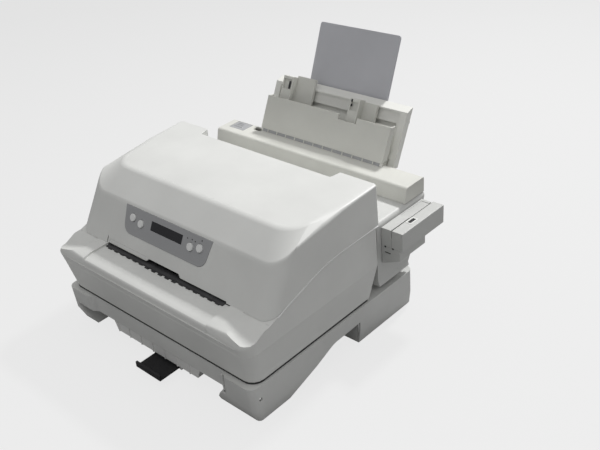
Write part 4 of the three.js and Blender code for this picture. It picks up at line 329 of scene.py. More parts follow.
# Moulded plastics, rubber, plated steel and the dark windows share one recipe with their own values.
# Each finish's crevice value sets the strength of the painted shade in its crevices.
finishes = {
    "caseWhite": {
        "slot": "case_white", "colour": (0.765, 0.77, 0.75), "rough": 0.42, "grain": 1500, "depth": 0.05,
        "mottle": 0.05, "wear": 0.25, "creviceShade": 0.35, "dust": 0.1,
    },
    "readerWhite": {
        "slot": "case_white", "colour": (0.575, 0.58, 0.565), "rough": 0.44, "grain": 1500, "depth": 0.05,
        "mottle": 0.05, "wear": 0.25, "creviceShade": 0.4, "dust": 0.08,
    },
    # A darker copy of the case white: painted shade on the rear deck.
    "shadedDeckWhite": {
        "slot": "case_white", "colour": (0.64, 0.645, 0.63), "rough": 0.46, "grain": 1400, "depth": 0.06,
        "mottle": 0.06, "wear": 0.2, "creviceShade": 0.5, "dust": 0.14,
    },
    # A lighter copy of the stand grey: painted light that the floor bounces onto the tray.
    "bounceLitTrayGrey": {
        "slot": "stand_grey", "colour": (0.86, 0.86, 0.845), "rough": 0.5, "grain": 1200, "depth": 0.06,
        "mottle": 0.06, "wear": 0.2, "creviceShade": 0.6, "dust": 0.08,
    },
    "standGrey": {
        "slot": "stand_grey", "colour": (0.69, 0.695, 0.68), "rough": 0.48, "grain": 1200, "depth": 0.07,
        "mottle": 0.07, "wear": 0.3, "creviceShade": 0.5, "dust": 0.16,
    },
    "feederCream": {
        "slot": "feeder_cream", "colour": (0.70, 0.70, 0.655), "rough": 0.45, "grain": 1400, "depth": 0.05,
        "mottle": 0.07, "wear": 0.25, "creviceShade": 0.5, "dust": 0.12,
    },
    # A lighter copy of the feeder cream: painted light on the hopper frame.
    "litFrameCream": {
        "slot": "feeder_cream", "colour": (0.84, 0.84, 0.80), "rough": 0.45, "grain": 1400, "depth": 0.05,
        "mottle": 0.06, "wear": 0.25, "creviceShade": 0.5, "dust": 0.1,
    },
    "panelGrey": {
        "slot": "panel_grey", "colour": (0.395, 0.40, 0.41), "rough": 0.4, "grain": 1800, "depth": 0.04,
        "mottle": 0.04, "wear": 0.15, "creviceShade": 0.3, "dust": 0.05,
    },
    "boardGrey": {
        "slot": "board_grey", "colour": (0.58, 0.585, 0.62), "rough": 0.38, "grain": 1000, "depth": 0.06,
        "mottle": 0.06, "wear": 0.25, "creviceShade": 0.2, "dust": 0.1,
    },
    "keyWhite": {
        "slot": "key_white", "colour": (0.86, 0.865, 0.86), "rough": 0.36, "grain": 2200, "depth": 0.02,
        "mottle": 0.04, "wear": 0.2, "creviceShade": 0.4, "dust": 0.02,
    },
    "blackPlastic": {
        "slot": "black_plastic", "colour": (0.009, 0.009, 0.011), "rough": 0.55, "grain": 420, "depth": 0.5,
        "mottle": 0.3, "wear": 0.5, "creviceShade": 0.1, "dust": 0.012,
    },
    "rubberBlack": {
        "slot": "rubber_black", "colour": (0.022, 0.022, 0.023), "rough": 0.78, "grain": 700, "depth": 0.2,
        "mottle": 0.2, "wear": 0.3, "creviceShade": 0.1, "dust": 0.2,
    },
    "gearPlastic": {
        "slot": "gear_plastic", "colour": (0.78, 0.74, 0.62), "rough": 0.4, "grain": 1600, "depth": 0.03,
        "mottle": 0.06, "wear": 0.2, "creviceShade": 0.5, "dust": 0.1,
    },
    "circuitGreen": {
        "slot": "circuit_green", "colour": (0.03, 0.15, 0.07), "rough": 0.3, "grain": 900, "depth": 0.06,
        "mottle": 0.25, "wear": 0.2, "creviceShade": 0.2, "dust": 0.12,
    },
    "platedSteel": {
        "slot": "steel_plate", "colour": (0.58, 0.59, 0.60), "rough": 0.34, "grain": 500, "depth": 0.05,
        "mottle": 0.12, "wear": 0.2, "creviceShade": 0.3, "dust": 0.08, "shader": {"Metallic": 1.0},
    },
    "displayDark": {
        "slot": "display_dark", "colour": (0.018, 0.019, 0.024), "rough": 0.16, "grain": 300, "depth": 0.0,
        "mottle": 0.3, "wear": 0.1, "creviceShade": 0.2, "dust": 0.06,
        "shader": {"Coat Weight": 0.3, "Coat Roughness": 0.08},
    },
}
recipe = {
    "ior": 1.47,
    "worn": 1.12,  # rubbed edges are a little lighter than the plastic
    "wornDark": (0.16, 0.16, 0.165, 1),  # and grey on the dark ones
    "darkBelow": 0.1,
    "shadedCreviceShare": 0.45,  # painted shade in crevices, as a share of the plastic's own colour
    "dustColour": (0.55, 0.54, 0.51, 1),
    "smoother": 0.05,
    "rougher": 0.07,
    "bumpGain": 4,
    "bumpDistance": 0.00008,
}


def mixColours(tree, factor, first, second):
    mix = addNode(tree, "Mix", {"Factor": factor, "A": first, "B": second}, data_type="RGBA")
    return mix.outputs["Result"]


def shade(colour, factor):
    return (*(min(1.0, c * factor) for c in colour), 1)


def finishMaterial(name, look):
    material = bpy.data.materials.new(name)
    material.use_nodes = True
    tree = material.node_tree
    shader = tree.nodes["Principled BSDF"]
    shader.inputs["IOR"].default_value = recipe["ior"]
    for socket, value in look.get("shader", {}).items():
        shader.inputs[socket].default_value = value
    grain = addNode(tree, "Group", {"Grain Scale": look["grain"]}, node_tree=mouldedGrain)
    edge = addNode(tree, "Group", node_tree=handledEdge)
    dust = addNode(tree, "Group", {"Amount": look["dust"]}, node_tree=settledDust)

    colour, mottle = look["colour"], look["mottle"]
    darker, lighter = shade(colour, 1 - mottle), shade(colour, 1 + mottle / 2)
    base = mixColours(tree, grain.outputs["Mottle"], darker, lighter)
    wear = mathNode(tree, "MULTIPLY", edge.outputs["Edge"], look["wear"])
    worn = shade(colour, recipe["worn"]) if min(colour) > recipe["darkBelow"] else recipe["wornDark"]
    base = mixColours(tree, wear, base, worn)
    # Crevices darken towards a darker copy of the plastic's colour: painted shade.
    creviceShade = mathNode(tree, "MULTIPLY", edge.outputs["Crevice"], look["creviceShade"])
    base = mixColours(tree, creviceShade, base, shade(colour, recipe["shadedCreviceShare"]))
    base = mixColours(tree, dust.outputs["Veil"], base, recipe["dustColour"])
    rough = addNode(tree, "MapRange", {
        "Value": grain.outputs["Mottle"],
        "To Min": look["rough"] - recipe["smoother"], "To Max": look["rough"] + recipe["rougher"],
    })
    bump = addNode(tree, "Bump", {
        "Height": grain.outputs["Height"],
        "Strength": look["depth"] * recipe["bumpGain"], "Distance": recipe["bumpDistance"],
    })
    tree.links.new(base, shader.inputs["Base Color"])
    tree.links.new(rough.outputs["Result"], shader.inputs["Roughness"])
    tree.links.new(bump.outputs["Normal"], shader.inputs["Normal"])
    return material


materials = {name: finishMaterial(name, look) for name, look in finishes.items()}
print("finishes are mixed:", len(materials))


# Making and finishing pieces
soften = {
    "weld": 2e-6,  # points closer than this become one, in metres
    "onCut": 1e-7,  # points this near a cut lie on it, in metres
    "flat": 3,  # degrees up to which neighbouring faces join
    "smoothBelow": 40,  # degrees up to which shading runs over an edge
    "moulding": {"segments": 2, "degrees": 32},  # an edge sharper than this many degrees gets rounded
    "fitting": {"width": 0.2, "segments": 1, "degrees": 40},
}


def bodyOf(node):
    return frame["nodes"][node]["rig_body"]


def finishPiece(piece, finish, body):
    piece.data.materials.clear()
    piece.data.materials.append(materials[finish])
    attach(piece, body)


def meshPiece(name, points, faces):
    mesh = bpy.data.meshes.new(name)
    mesh.from_pydata([tuple(p) for p in points], [], faces)
    mesh.validate()
    piece = bpy.data.objects.new(name, mesh)
    bpy.context.scene.collection.objects.link(piece)
    return piece


def prismPiece(name, outline, low, high, place):
    count = len(outline)
    points = [place(a, b, level) for level in (low, high) for a, b in outline]
    faces = [tuple(reversed(range(count))), tuple(range(count, 2 * count))]
    faces += [(i, (i + 1) % count, count + (i + 1) % count, count + i) for i in range(count)]
    return meshPiece(name, points, faces)


def boxPiece(name, low, high):
    outline = [(low[0], low[1]), (high[0], low[1]), (high[0], high[1]), (low[0], high[1])]
    return prismPiece(name, outline, low[2], high[2], spot)


def ringPiece(name, outer, inner, low, high):
    count = len(outer)
    loops = ((outer, low), (outer, high), (inner, high), (inner, low))
    points = [spot(p.x, p.y, z) for loop, z in loops for p in loop]
    faces = []
    for level in range(len(loops)):
        here, above = level * count, (level + 1) % len(loops) * count
        for i in range(count):
            j = (i + 1) % count
            faces.append((here + i, here + j, above + j, above + i))
    return meshPiece(name, points, faces)


def tubePiece(name, path, radius, steps):
    points, faces = [], []
    for i, here in enumerate(path):
        along = (path[min(i + 1, len(path) - 1)] - path[max(i - 1, 0)]).normalized()
        side = along.cross(Vector((1, 0, 0))).normalized()
        out = side.cross(along)
        for k in range(steps):
            angle = 2 * math.pi * k / steps
            points.append(spot(*(here + (side * math.cos(angle) + out * math.sin(angle)) * radius)))
    for i in range(len(path) - 1):
        for k in range(steps):
            a, b = i * steps + k, i * steps + (k + 1) % steps
            faces.append((a, b, b + steps, a + steps))
    faces += [tuple(range(steps)), tuple(reversed(range(len(points) - steps, len(points))))]
    return meshPiece(name, points, faces)


def sharpen(mesh, degrees):
    form = bmesh.new()
    form.from_mesh(mesh)
    limit = math.radians(degrees)
    for face in form.faces:
        face.smooth = True
    for edge in form.edges:
        edge.smooth = len(edge.link_faces) == 2 and edge.calc_face_angle(0) < limit
    form.to_mesh(mesh)
    form.free()


def applyModifiers(piece):
    view = bpy.context.evaluated_depsgraph_get()
    view.update()
    made = bpy.data.meshes.new_from_object(piece.evaluated_get(view))
    piece.modifiers.clear()
    old = piece.data
    piece.data = made
    bpy.data.meshes.remove(old)


def smoothShade(piece):
    sharpen(piece.data, soften["smoothBelow"])
    weigh = piece.modifiers.new("evenShading", "WEIGHTED_NORMAL")
    weigh.keep_sharp = True
    applyModifiers(piece)


def bevelPiece(piece, width, segments, degrees):
    bevel = piece.modifiers.new("softEdges", "BEVEL")
    bevel.width = width * mm
    bevel.segments = segments
    bevel.limit_method = "ANGLE"
    bevel.angle_limit = math.radians(degrees)
    bevel.miter_outer = "MITER_ARC"
    bevel.use_clamp_overlap = True
    applyModifiers(piece)
    smoothShade(piece)


def carve(piece, cutter):
    cutting = piece.modifiers.new("cut", "BOOLEAN")
    cutting.operation = "DIFFERENCE"
    cutting.solver = "EXACT"
    cutting.object = cutter
    applyModifiers(piece)
    bpy.data.objects.remove(cutter)


def cutAcross(form, place, normal, behind=math.inf):
    faces = [face for face in form.faces if face.calc_center_median().y < rearLine + behind * mm]
    edges = {edge for face in faces for edge in face.edges}
    verts = {vert for face in faces for vert in face.verts}
    bmesh.ops.bisect_plane(
        form, geom=[*verts, *edges, *faces], dist=soften["onCut"], plane_co=place, plane_no=normal,
    )


# A solid's own shape with rounded edges: trim works on it before they are rounded, reshape afterwards.
def refined(node, finish, width, segments=soften["moulding"]["segments"], trim=None, reshape=None):
    piece = bpy.data.objects.new(node + "_form", frame["nodes"][node].data.copy())
    bpy.context.scene.collection.objects.link(piece)
    form = bmesh.new()
    form.from_mesh(piece.data)
    bmesh.ops.remove_doubles(form, verts=form.verts, dist=soften["weld"])
    flat = math.radians(soften["flat"])
    bmesh.ops.dissolve_limit(form, angle_limit=flat, verts=form.verts, edges=form.edges)
    if trim:
        trim(form)
    form.to_mesh(piece.data)
    form.free()
    bevelPiece(piece, width, segments, soften["moulding"]["degrees"])
    if reshape:
        reshape(piece.data)
        smoothShade(piece)
    finishPiece(piece, finish, bodyOf(node))
    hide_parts(node)


# Outlines: points with a corner radius, and straight lines between the rows of a table
def roundedOutline(points, steps):
    outline = []
    count = len(points)
    for i, (a, b, radius) in enumerate(points):
        here = Vector((a, b))
        if radius == 0:
            outline.append(here)
            continue
        before = Vector(points[i - 1][:2]) - here
        after = Vector(points[(i + 1) % count][:2]) - here
        before.normalize()
        after.normalize()
        half = math.acos(max(-1, min(1, before.dot(after)))) / 2
        centre = here + (before + after).normalized() * (radius / math.sin(half))
        start = here + before * (radius / math.tan(half)) - centre
        end = here + after * (radius / math.tan(half)) - centre
        turn = math.atan2(start.x * end.y - start.y * end.x, start.dot(end))
        for k in range(steps + 1):
            angle = turn * k / steps
            outline.append(centre + Vector((
                start.x * math.cos(angle) - start.y * math.sin(angle),
                start.x * math.sin(angle) + start.y * math.cos(angle),
            )))
    return outline


def interpolate(table, x):
    if x <= table[0][0]:
        return table[0][1]
    for (x0, y0), (x1, y1) in zip(table, table[1:]):
        if x <= x1:
            return y0 + (y1 - y0) * (x - x0) / (x1 - x0)
    return table[-1][1]


def circle(radius, steps):
    angles = [2 * math.pi * k / steps for k in range(steps)]
    return [(radius * math.cos(angle), radius * math.sin(angle)) for angle in angles]


# Top cover: rings of points at the rim, the shoulder and the crease, with soft corners between them
cover = {
    "frontStops": [-134, -131.2, -130.8, -129.6, -129.2, -127.2, -126.8, -100, -70, -41, -36.5, -10, 10,
                   25.5, 30, 60, 90, 118.8, 119.2, 130],
    "sideStops": [-110, -100, -90, -80, -70, -60, -50, -40, -30, -20, -12],
    "notch": [(131, 0, 1.5), (127.3, -17, 2.5), (-127.3, -17, 2.5), (-131, 0, 1.5)],  # in the rear edge
    "rearRadius": 4,
    "baseRing": {"half": 196.5, "rearHalf": 196.5, "front": -227.35, "radius": 17, "inset": 0},
    "shoulderRing": {"half": 192.5, "rearHalf": 192.5, "front": -189, "radius": 31, "inset": 0},
    "creaseRing": {"half": 178, "rearHalf": 189.5, "front": -150, "radius": 36, "inset": 0},
    "innerRing": {"half": 164, "rearHalf": 180, "front": -130, "radius": 16, "inset": 8},
    "baseZ": 128.5, "shoulderZ": 201, "topZ": 234, "topFall": 4,
    "sideLine": [(-158, 220.5), (-104, 226.6), (-68, 231), (0, 233)],
    "rimLine": [(-221, 140.5), (-184.8, 152.5), (-164.6, 157.7), (-144.8, 163.4), (-124.9, 168.8),
                (-102.8, 171.9), (-82.9, 173.5), (-63, 174), (0, 174)],
    "slot": [(-127, 119, 1.6), (-38.5, 28, 3.2), (-130.9, -129.5, 8.5)],  # left, right, rise above the rim
    "touch": 0.01, "halvings": 30,  # for finding the rim's height on each slanting line
    "creaseReach": 5, "shoulderReach": 4, "rearReach": 3.5, "cornerShare": 0.46,
    "wall": 2.5, "arcSteps": 12, "cornerSteps": 6,
    "edge": {"width": 0.4, "segments": 2, "degrees": 50},
}


def coverRing(form, ring):
    inset = ring["inset"]

    def sideSpot(y, side):
        half = ring["half"] + (ring["rearHalf"] - ring["half"]) * (y - ring["front"]) / -ring["front"]
        return side * half, y - inset * (1 - y / form["sideStops"][0]), 0

    rear = [(x + math.copysign(inset, x), y - inset, radius) for x, y, radius in form["notch"]]
    return roundedOutline(
        [(-ring["half"], ring["front"], ring["radius"])]
        + [(x, ring["front"], 0) for x in form["frontStops"]]
        + [(ring["half"], ring["front"], ring["radius"])]
        + [sideSpot(y, 1) for y in form["sideStops"]]
        + [(ring["rearHalf"], -inset, form["rearRadius"])]
        + rear
        + [(-ring["rearHalf"], -inset, form["rearRadius"])]
        + [sideSpot(y, -1) for y in reversed(form["sideStops"])],
        form["arcSteps"],
    )


def rimHeight(form, x, y, atFront):
    rim = interpolate(form["rimLine"], y)
    if atFront:
        rim += sum(rise for left, right, rise in form["slot"] if left < x < right)
    return rim


# Each column runs from the rim up to the shoulder, the crease and the inner ring.
def coverColumns(form):
    rings = (coverRing(form, form[name]) for name in ("baseRing", "shoulderRing", "creaseRing", "innerRing"))
    front, crease = form["shoulderRing"]["front"], form["creaseRing"]["front"]

    def topAt(y):
        return form["topZ"] - form["topFall"] * y / crease

    chamfer = (topAt(crease) - form["shoulderZ"]) / (crease - front)
    columns = []
    for a, b, c, d in zip(*rings):
        low = Vector((a.x, a.y, form["baseZ"]))
        onChamfer = form["shoulderZ"] + (b.y - front) * chamfer
        shoulder = Vector((b.x, b.y, min(onChamfer, interpolate(form["sideLine"], b.y))))
        atFront = a.y < form["baseRing"]["front"] + form["touch"]
        below, above = 0.0, 1.0
        for _ in range(form["halvings"]):
            share = (below + above) / 2
            point = low.lerp(shoulder, share)
            if point.z < rimHeight(form, point.x, point.y, atFront):
                below = share
            else:
                above = share
        columns.append((
            low.lerp(shoulder, below), shoulder,
            Vector((c.x, c.y, topAt(c.y))), Vector((d.x, d.y, topAt(d.y))),
        ))
    return columns


def softCorner(form, a, b, c, reach):
    before, after = a - b, c - b
    share, steps = form["cornerShare"], form["cornerSteps"]
    back = min(reach, share * before.length, share * after.length)
    start = b + before.normalized() * back
    end = b + after.normalized() * back
    return [start.lerp(b, t).lerp(b.lerp(end, t), t) for t in (k / steps for k in range(steps + 1))]


def buildCover(form):
    rows = []
    for low, shoulder, crease, inner in coverColumns(form):
        share = max(0.0, min(1.0, crease.y / form["creaseRing"]["front"]))
        reach = form["rearReach"] + (form["creaseReach"] - form["rearReach"]) * share
        rows.append(
            [low]
            + softCorner(form, low, shoulder, crease, form["shoulderReach"])
            + softCorner(form, shoulder, crease, inner, reach)
            + [inner]
        )
    count, depth = len(rows), len(rows[0])
    faces = []
    for i in range(count):
        here, beside = i * depth, (i + 1) % count * depth
        faces += [(here + k, beside + k, beside + k + 1, here + k + 1) for k in range(depth - 1)]
    faces.append(tuple(i * depth + depth - 1 for i in range(count)))
    piece = meshPiece("cover_shell", [spot(*p) for row in rows for p in row], faces)
    sheet = bmesh.new()
    sheet.from_mesh(piece.data)
    bmesh.ops.triangulate(sheet, faces=[f for f in sheet.faces if len(f.verts) > 4], ngon_method="BEAUTY")
    sheet.to_mesh(piece.data)
    sheet.free()
    solid = piece.modifiers.new("wall", "SOLIDIFY")
    solid.thickness = form["wall"] * mm
    solid.offset = -1
    solid.use_even_offset = False
    solid.use_rim = True
    applyModifiers(piece)
    return piece


# The cover's front face as a drawing board: right, up the slope and outwards, from its upper edge's middle
shoulderSpot = Vector((0, cover["shoulderRing"]["front"], cover["shoulderZ"]))
faceUp = (shoulderSpot - Vector((0, *cover["rimLine"][0]))).normalized()
faceOut = Vector((0, -faceUp.z, faceUp.y))


def onFace(x, up, out):
    return spot(*(Vector((x, 0, 0)) + shoulderSpot + faceUp * up + faceOut * out))


def upAt(z):
    return (z - cover["shoulderZ"]) / faceUp.z


# Cuts in the cover: the panel's recess, room for the hinges, a thin outline by the slot and its end slit
panelRecess = {
    "top": -1.6, "bottom": -41, "taper": 6, "radius": 15, "steps": 10, "clear": 0.3, "cut": (-6, 6),
}
hinge = {"inner": 176.5, "outer": 183, "front": -6, "rear": 6, "low": 168, "high": 189.4}
slotOutline = {"left": -125, "right": -36, "low": 143, "high": 148, "line": 0.7, "cut": (-0.45, 2)}
slit = {"left": -130.7, "right": -128.5, "low": 136, "high": 149, "cut": (-4, 2)}


def recessOutline(form):
    (panelLeft, _, _), (panelRight, _, _) = span("control_panel")
    clear, taper = form["clear"], form["taper"]
    left, right, radius = panelLeft - clear, panelRight + clear, form["radius"] + clear
    top, bottom = form["top"] + clear, form["bottom"] - clear
    return [tuple(p) for p in roundedOutline([
        (left, top, 0), (left + taper, bottom, radius), (right - taper, bottom, radius), (right, top, 0),
    ], form["steps"])]


# A thin line around the left, upper and lower sides of a rectangle
def bandOutline(form):
    left, right, line = form["left"], form["right"], form["line"]
    low, high = upAt(form["low"]), upAt(form["high"])
    return [(right, high), (left, high), (left, low), (right, low), (right, low + line),
            (left + line, low + line), (left + line, high - line), (right, high - line)]


coverPiece = buildCover(cover)
carve(coverPiece, prismPiece("panelCut", recessOutline(panelRecess), *panelRecess["cut"], onFace))
for side in (-1, 1):
    low, high = sorted((side * hinge["inner"], side * hinge["outer"]))
    corners = (low, hinge["front"], hinge["low"]), (high, hinge["rear"], hinge["high"])
    carve(coverPiece, boxPiece("hingeCut", *corners))
carve(coverPiece, prismPiece("outlineCut", bandOutline(slotOutline), *slotOutline["cut"], onFace))
low, high = upAt(slit["low"]), upAt(slit["high"])
slitOutline = [(slit["left"], low), (slit["right"], low), (slit["right"], high), (slit["left"], high)]
carve(coverPiece, prismPiece("slitCut", slitOutline, *slit["cut"], onFace))
bevelPiece(coverPiece, **cover["edge"])
finishPiece(coverPiece, "caseWhite", "cover")
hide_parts("top_cover")
print("the cover is lofted:", len(coverPiece.data.polygons), "faces")


# Lower case: a fine raised line runs around it.
lowerCase = {"finish": "caseWhite", "width": 1.6, "segments": 3}
caseLine = {
    "height": 114, "proud": 0.45, "half": 1.1,
    "sideways": 0.2, "near": 1e-6,  # which points move: normals that look sideways, and distance in metres
}


def raiseLine(form):
    height = caseLine["height"]
    for step in (-caseLine["half"], 0, caseLine["half"]):
        cutAcross(form, (0, 0, (height + step) * mm), (0, 0, 1))
    form.normal_update()
    for vert in form.verts:
        away = Vector((vert.normal.x, vert.normal.y, 0))
        if abs(vert.co.z - height * mm) < caseLine["near"] and away.length > caseLine["sideways"]:
            vert.co += away.normalized() * caseLine["proud"] * mm


# The soft ridge along the front of the table swells out under its crest, and beside it, where the crest
# falls towards the corners, the top rises backwards in a soft curve.
ridge = {
    "tableHalf": 128, "tableCrest": 138.6, "bolsterCrest": 141.2, "dropFrom": 146, "dropSlope": 0.196,
    "behind": -240, "facing": -0.2,  # it ends there, and only faces that look forward swell
    "cuts": [121, 125, 128.5, 131.5, 134, 135.5, 136.8, 137.6, 138.2, 139.2, 140.2, 140.8],
    "swell": [(0, 0), (0.5, 1.2), (1.4, 2.8), (3.4, 3.8), (7, 3.4), (10, 2.4), (14, 1.1), (19, 0)],
}
cornerLift = {
    "front": -254, "rear": -227.35, "behind": -215, "above": 126, "top": 139.8, "facing": 0.35,
    "cuts": [-251, -247.5, -244, -240.5, -237, -233.5, -230.5], "margin": 0.5,
}


def crestAt(across):
    if across <= ridge["tableHalf"]:
        return ridge["tableCrest"]
    return ridge["bolsterCrest"] - max(0, across - ridge["dropFrom"]) * ridge["dropSlope"]


def swellRidge(mesh):
    form = bmesh.new()
    form.from_mesh(mesh)
    for height in ridge["cuts"]:
        cutAcross(form, (0, 0, height * mm), (0, 0, 1), ridge["behind"])
    for y in cornerLift["cuts"]:
        cutAcross(form, (0, rearLine + y * mm, 0), (0, 1, 0), cornerLift["rear"] + cornerLift["margin"])
    form.normal_update()
    limit = rearLine + ridge["behind"] * mm
    for vert in form.verts:
        if vert.co.y <= limit and vert.normal.y <= ridge["facing"]:
            crest = crestAt(abs(vert.co.x - middleX) / mm)
            vert.co.y -= interpolate(ridge["swell"], crest - vert.co.z / mm) * mm
    for vert in form.verts:
        y, z = (vert.co.y - rearLine) / mm, vert.co.z / mm
        outside = abs(vert.co.x - middleX) / mm > ridge["dropFrom"] and y < cornerLift["behind"]
        if outside and vert.normal.z > cornerLift["facing"] and cornerLift["above"] < z < cornerLift["top"]:
            share = (y - cornerLift["front"]) / (cornerLift["rear"] - cornerLift["front"])
            share = max(0.0, min(1.0, share))
            vert.co.z += (cornerLift["top"] - z) * share * share * (3 - 2 * share) * mm
    form.to_mesh(mesh)
    form.free()


refined("lower_case", **lowerCase, trim=raiseLine, reshape=swellRidge)

# Other outer mouldings: finish, width of the rounded edges and, on fine ones, the number of their segments
mouldings = {
    # the rear case wears painted shade, a darker copy of the case white
    "rear_case": ("shadedDeckWhite", 1.4),
    "stand_frame": ("standGrey", 1.2),
    # the tray wears painted light, a lighter copy of the stand grey
    "document_tray": ("bounceLitTrayGrey", 0.7),
    "feeder_beam": ("feederCream", 1.2),
    # the hopper frame wears painted light, a lighter copy of the feeder cream
    "hopper_frame": ("litFrameCream", 0.6),
    "hopper_front_plate": ("feederCream", 0.5),
    "paper_guide_left": ("feederCream", 0.5),
    "paper_guide_right": ("feederCream", 0.5),
    "paper_support": ("boardGrey", 0.7),
    "reader_inner_block": ("readerWhite", 0.5),
    "reader_outer_block": ("readerWhite", 0.5),
    "reader_bracket": ("readerWhite", 0.5),
    "document_slide": ("blackPlastic", 0.4),
    "control_panel": ("panelGrey", 0.25),
    "slot_lip": ("blackPlastic", 0.3, 1),
    "lock_knob": ("blackPlastic", 0.4),
    "display_window": ("displayDark", 0.15, 1),
    "reader_window": ("displayDark", 0.15, 1),
    **{f"key_{i}": ("keyWhite", 0.35) for i in range(1, 5)},
}
for node, look in mouldings.items():
    refined(node, *look)
print("mouldings are softened:", len(mouldings) + 1)


# A black strip in the gap between the lower case and its stand: painted shade where the gap looks dark
gap = {
    "half": 191.7, "front": -255.3, "rear": -24, "radius": 18, "rearRadius": 5,
    "low": 62.25, "high": 64.9, "wall": 3, "steps": 10,
}


def gapOutline(form, inset):
    half, front, rear = form["half"] - inset, form["front"] + inset, form["rear"] - inset
    frontRadius, rearRadius = form["radius"] - inset, form["rearRadius"] - inset
    return roundedOutline([
        (-half, front, frontRadius), (half, front, frontRadius),
        (half, rear, rearRadius), (-half, rear, rearRadius),
    ], form["steps"])


outer, inner = gapOutline(gap, 0), gapOutline(gap, gap["wall"])
gapShadeStrip = ringPiece("case_gap_shade_strip", outer, inner, gap["low"], gap["high"])
# The black rubber finish paints the shade in the gap.
finishPiece(gapShadeStrip, "rubberBlack", bodyOf("lower_case"))
print("the gap strip is laid")


# A small fitting rides with the node that carries it.
def fit(piece, finish, node, width=soften["fitting"]["width"]):
    bevelPiece(piece, width, soften["fitting"]["segments"], soften["fitting"]["degrees"])
    finishPiece(piece, finish, bodyOf(node))


# Toothed comb in the paper slot, with longer teeth in the middle
comb = {
    "inset": 0.4, "sunk": 0.28, "proud": 0.8,  # against the lip's ends and top
    "rear": -219, "front": -226.8, "tip": -228.4,
    "pitch": 14, "tooth": 8.5, "flank": 0.6, "middle": (-40, 29), "middleTip": -229.6,
}


def combOutline(form, left, right):
    outline = [(left, form["rear"]), (left, form["front"])]
    x = left + form["pitch"] / 2
    while x + form["tooth"] < right:
        low, high = form["middle"]
        tip = form["middleTip"] if low < x < high else form["tip"]
        end, flank = x + form["tooth"], form["flank"]
        outline += [(x, form["front"]), (x + flank, tip), (end - flank, tip), (end, form["front"])]
        x += form["pitch"]
    return outline + [(right, form["front"]), (right, form["rear"])]


(lipLeft, _, _), (lipRight, _, lipTop) = span("slot_lip")
teeth = combOutline(comb, lipLeft + comb["inset"], lipRight - comb["inset"])
slotComb = prismPiece("slot_comb", teeth, lipTop - comb["sunk"], lipTop + comb["proud"], spot)
fit(slotComb, "blackPlastic", "lower_case")

# A light bead along the lower case's rim, beside the cover: the rim stands proud there, and its lighter key
# finish is a painted highlight
rimHighlight = {
    "radius": 1.0, "steps": 8, "stations": 30, "sink": 1.0, "proud": 0.75, "front": -207, "rear": -4,
    "smoothBelow": 60,
}


def rimHighlightSpot(y, side):
    z = interpolate(cover["rimLine"], y) - rimHighlight["sink"]
    baseHalf, shoulderHalf = cover["baseRing"]["half"], cover["shoulderRing"]["half"]
    climb = cover["shoulderZ"] - cover["baseZ"]
    wall = baseHalf - (z - cover["baseZ"]) * (baseHalf - shoulderHalf) / climb
    return Vector((side * (wall + rimHighlight["proud"]), y, z))


for side, label in ((-1, "left"), (1, "right")):
    stations = [rimHighlight["front"] + (rimHighlight["rear"] - rimHighlight["front"]) * k / rimHighlight["stations"]
                for k in range(rimHighlight["stations"] + 1)]
    path = [rimHighlightSpot(y, side) for y in stations]
    highlightTube = tubePiece(f"rim_highlight_bead_{label}", path, rimHighlight["radius"], rimHighlight["steps"])
    sharpen(highlightTube.data, rimHighlight["smoothBelow"])
    # The lighter key finish is a painted highlight along the rim.
    finishPiece(highlightTube, "keyWhite", bodyOf("lower_case"))

# Lamps beside the keys, as low domes on the panel
lamps = {
    "places": [(27.4, -10.7), (36.3, -10.1), (42.4, -10.9), (54.2, -6.2)],
    "rings": [(1.3, 0.1), (1.15, 0.45), (0.7, 0.7)],  # radius and height
    "tip": 0.78, "foot": -0.2, "steps": 16, "soften": 0.05,
}


def domePiece(name, form, x, up):
    steps, rings = form["steps"], form["rings"]
    points = [onFace(x + a, up + b, out) for radius, out in rings for a, b in circle(radius, steps)]
    points += [onFace(x, up, form["tip"]), onFace(x, up, form["foot"])]
    top, tip = (len(rings) - 1) * steps, len(rings) * steps
    around = [(k, (k + 1) % steps) for k in range(steps)]
    faces = [(low + i, low + j, low + steps + j, low + steps + i)
             for low in range(0, top, steps) for i, j in around]
    faces += [(top + i, top + j, tip) for i, j in around] + [(j, i, tip + 1) for i, j in around]
    return meshPiece(name, points, faces)


for i, (x, up) in enumerate(lamps["places"], 1):
    fit(domePiece(f"panel_lamp_{i}", lamps, x, up), "displayDark", "control_panel", lamps["soften"])

# A grey plate sunk in the left end of the beam, with raised bars that get shorter
plate = {
    "left": -175.4, "front": 86.2, "right": -143.6, "rear": 109.2, "bottom": -0.75, "top": -0.15,
    "bars": [92, 98, 103], "barDepth": 2.2, "barLeft": 5, "barRight": 6, "shorter": 3,
    "barBottom": -0.3, "barTop": 0.2,
}
beamTop = span("feeder_beam")[1][2]
sunkPlate = boxPiece(
    "beam_label_plate", (plate["left"], plate["front"], beamTop + plate["bottom"]),
    (plate["right"], plate["rear"], beamTop + plate["top"]),
)
fit(sunkPlate, "panelGrey", "feeder_beam")
for i, y in enumerate(plate["bars"], 1):
    left, right = plate["left"] + plate["barLeft"], plate["right"] - plate["barRight"] - i * plate["shorter"]
    bar = boxPiece(
        f"beam_label_bar_{i}", (left, y, beamTop + plate["barBottom"]),
        (right, y + plate["barDepth"], beamTop + plate["barTop"]),
    )
    fit(bar, "platedSteel", "feeder_beam")

# The hopper leans back from its foot: depth runs square to its plate and height along it.
hopper = {"foot": (1, 102, 194), "lean": math.radians(26)}


def inHopper(depth, height, x):
    footX, footY, footZ = hopper["foot"]
    sine, cosine = math.sin(hopper["lean"]), math.cos(hopper["lean"])
    return spot(footX + x, footY + depth * cosine + height * sine, footZ - depth * sine + height * cosine)


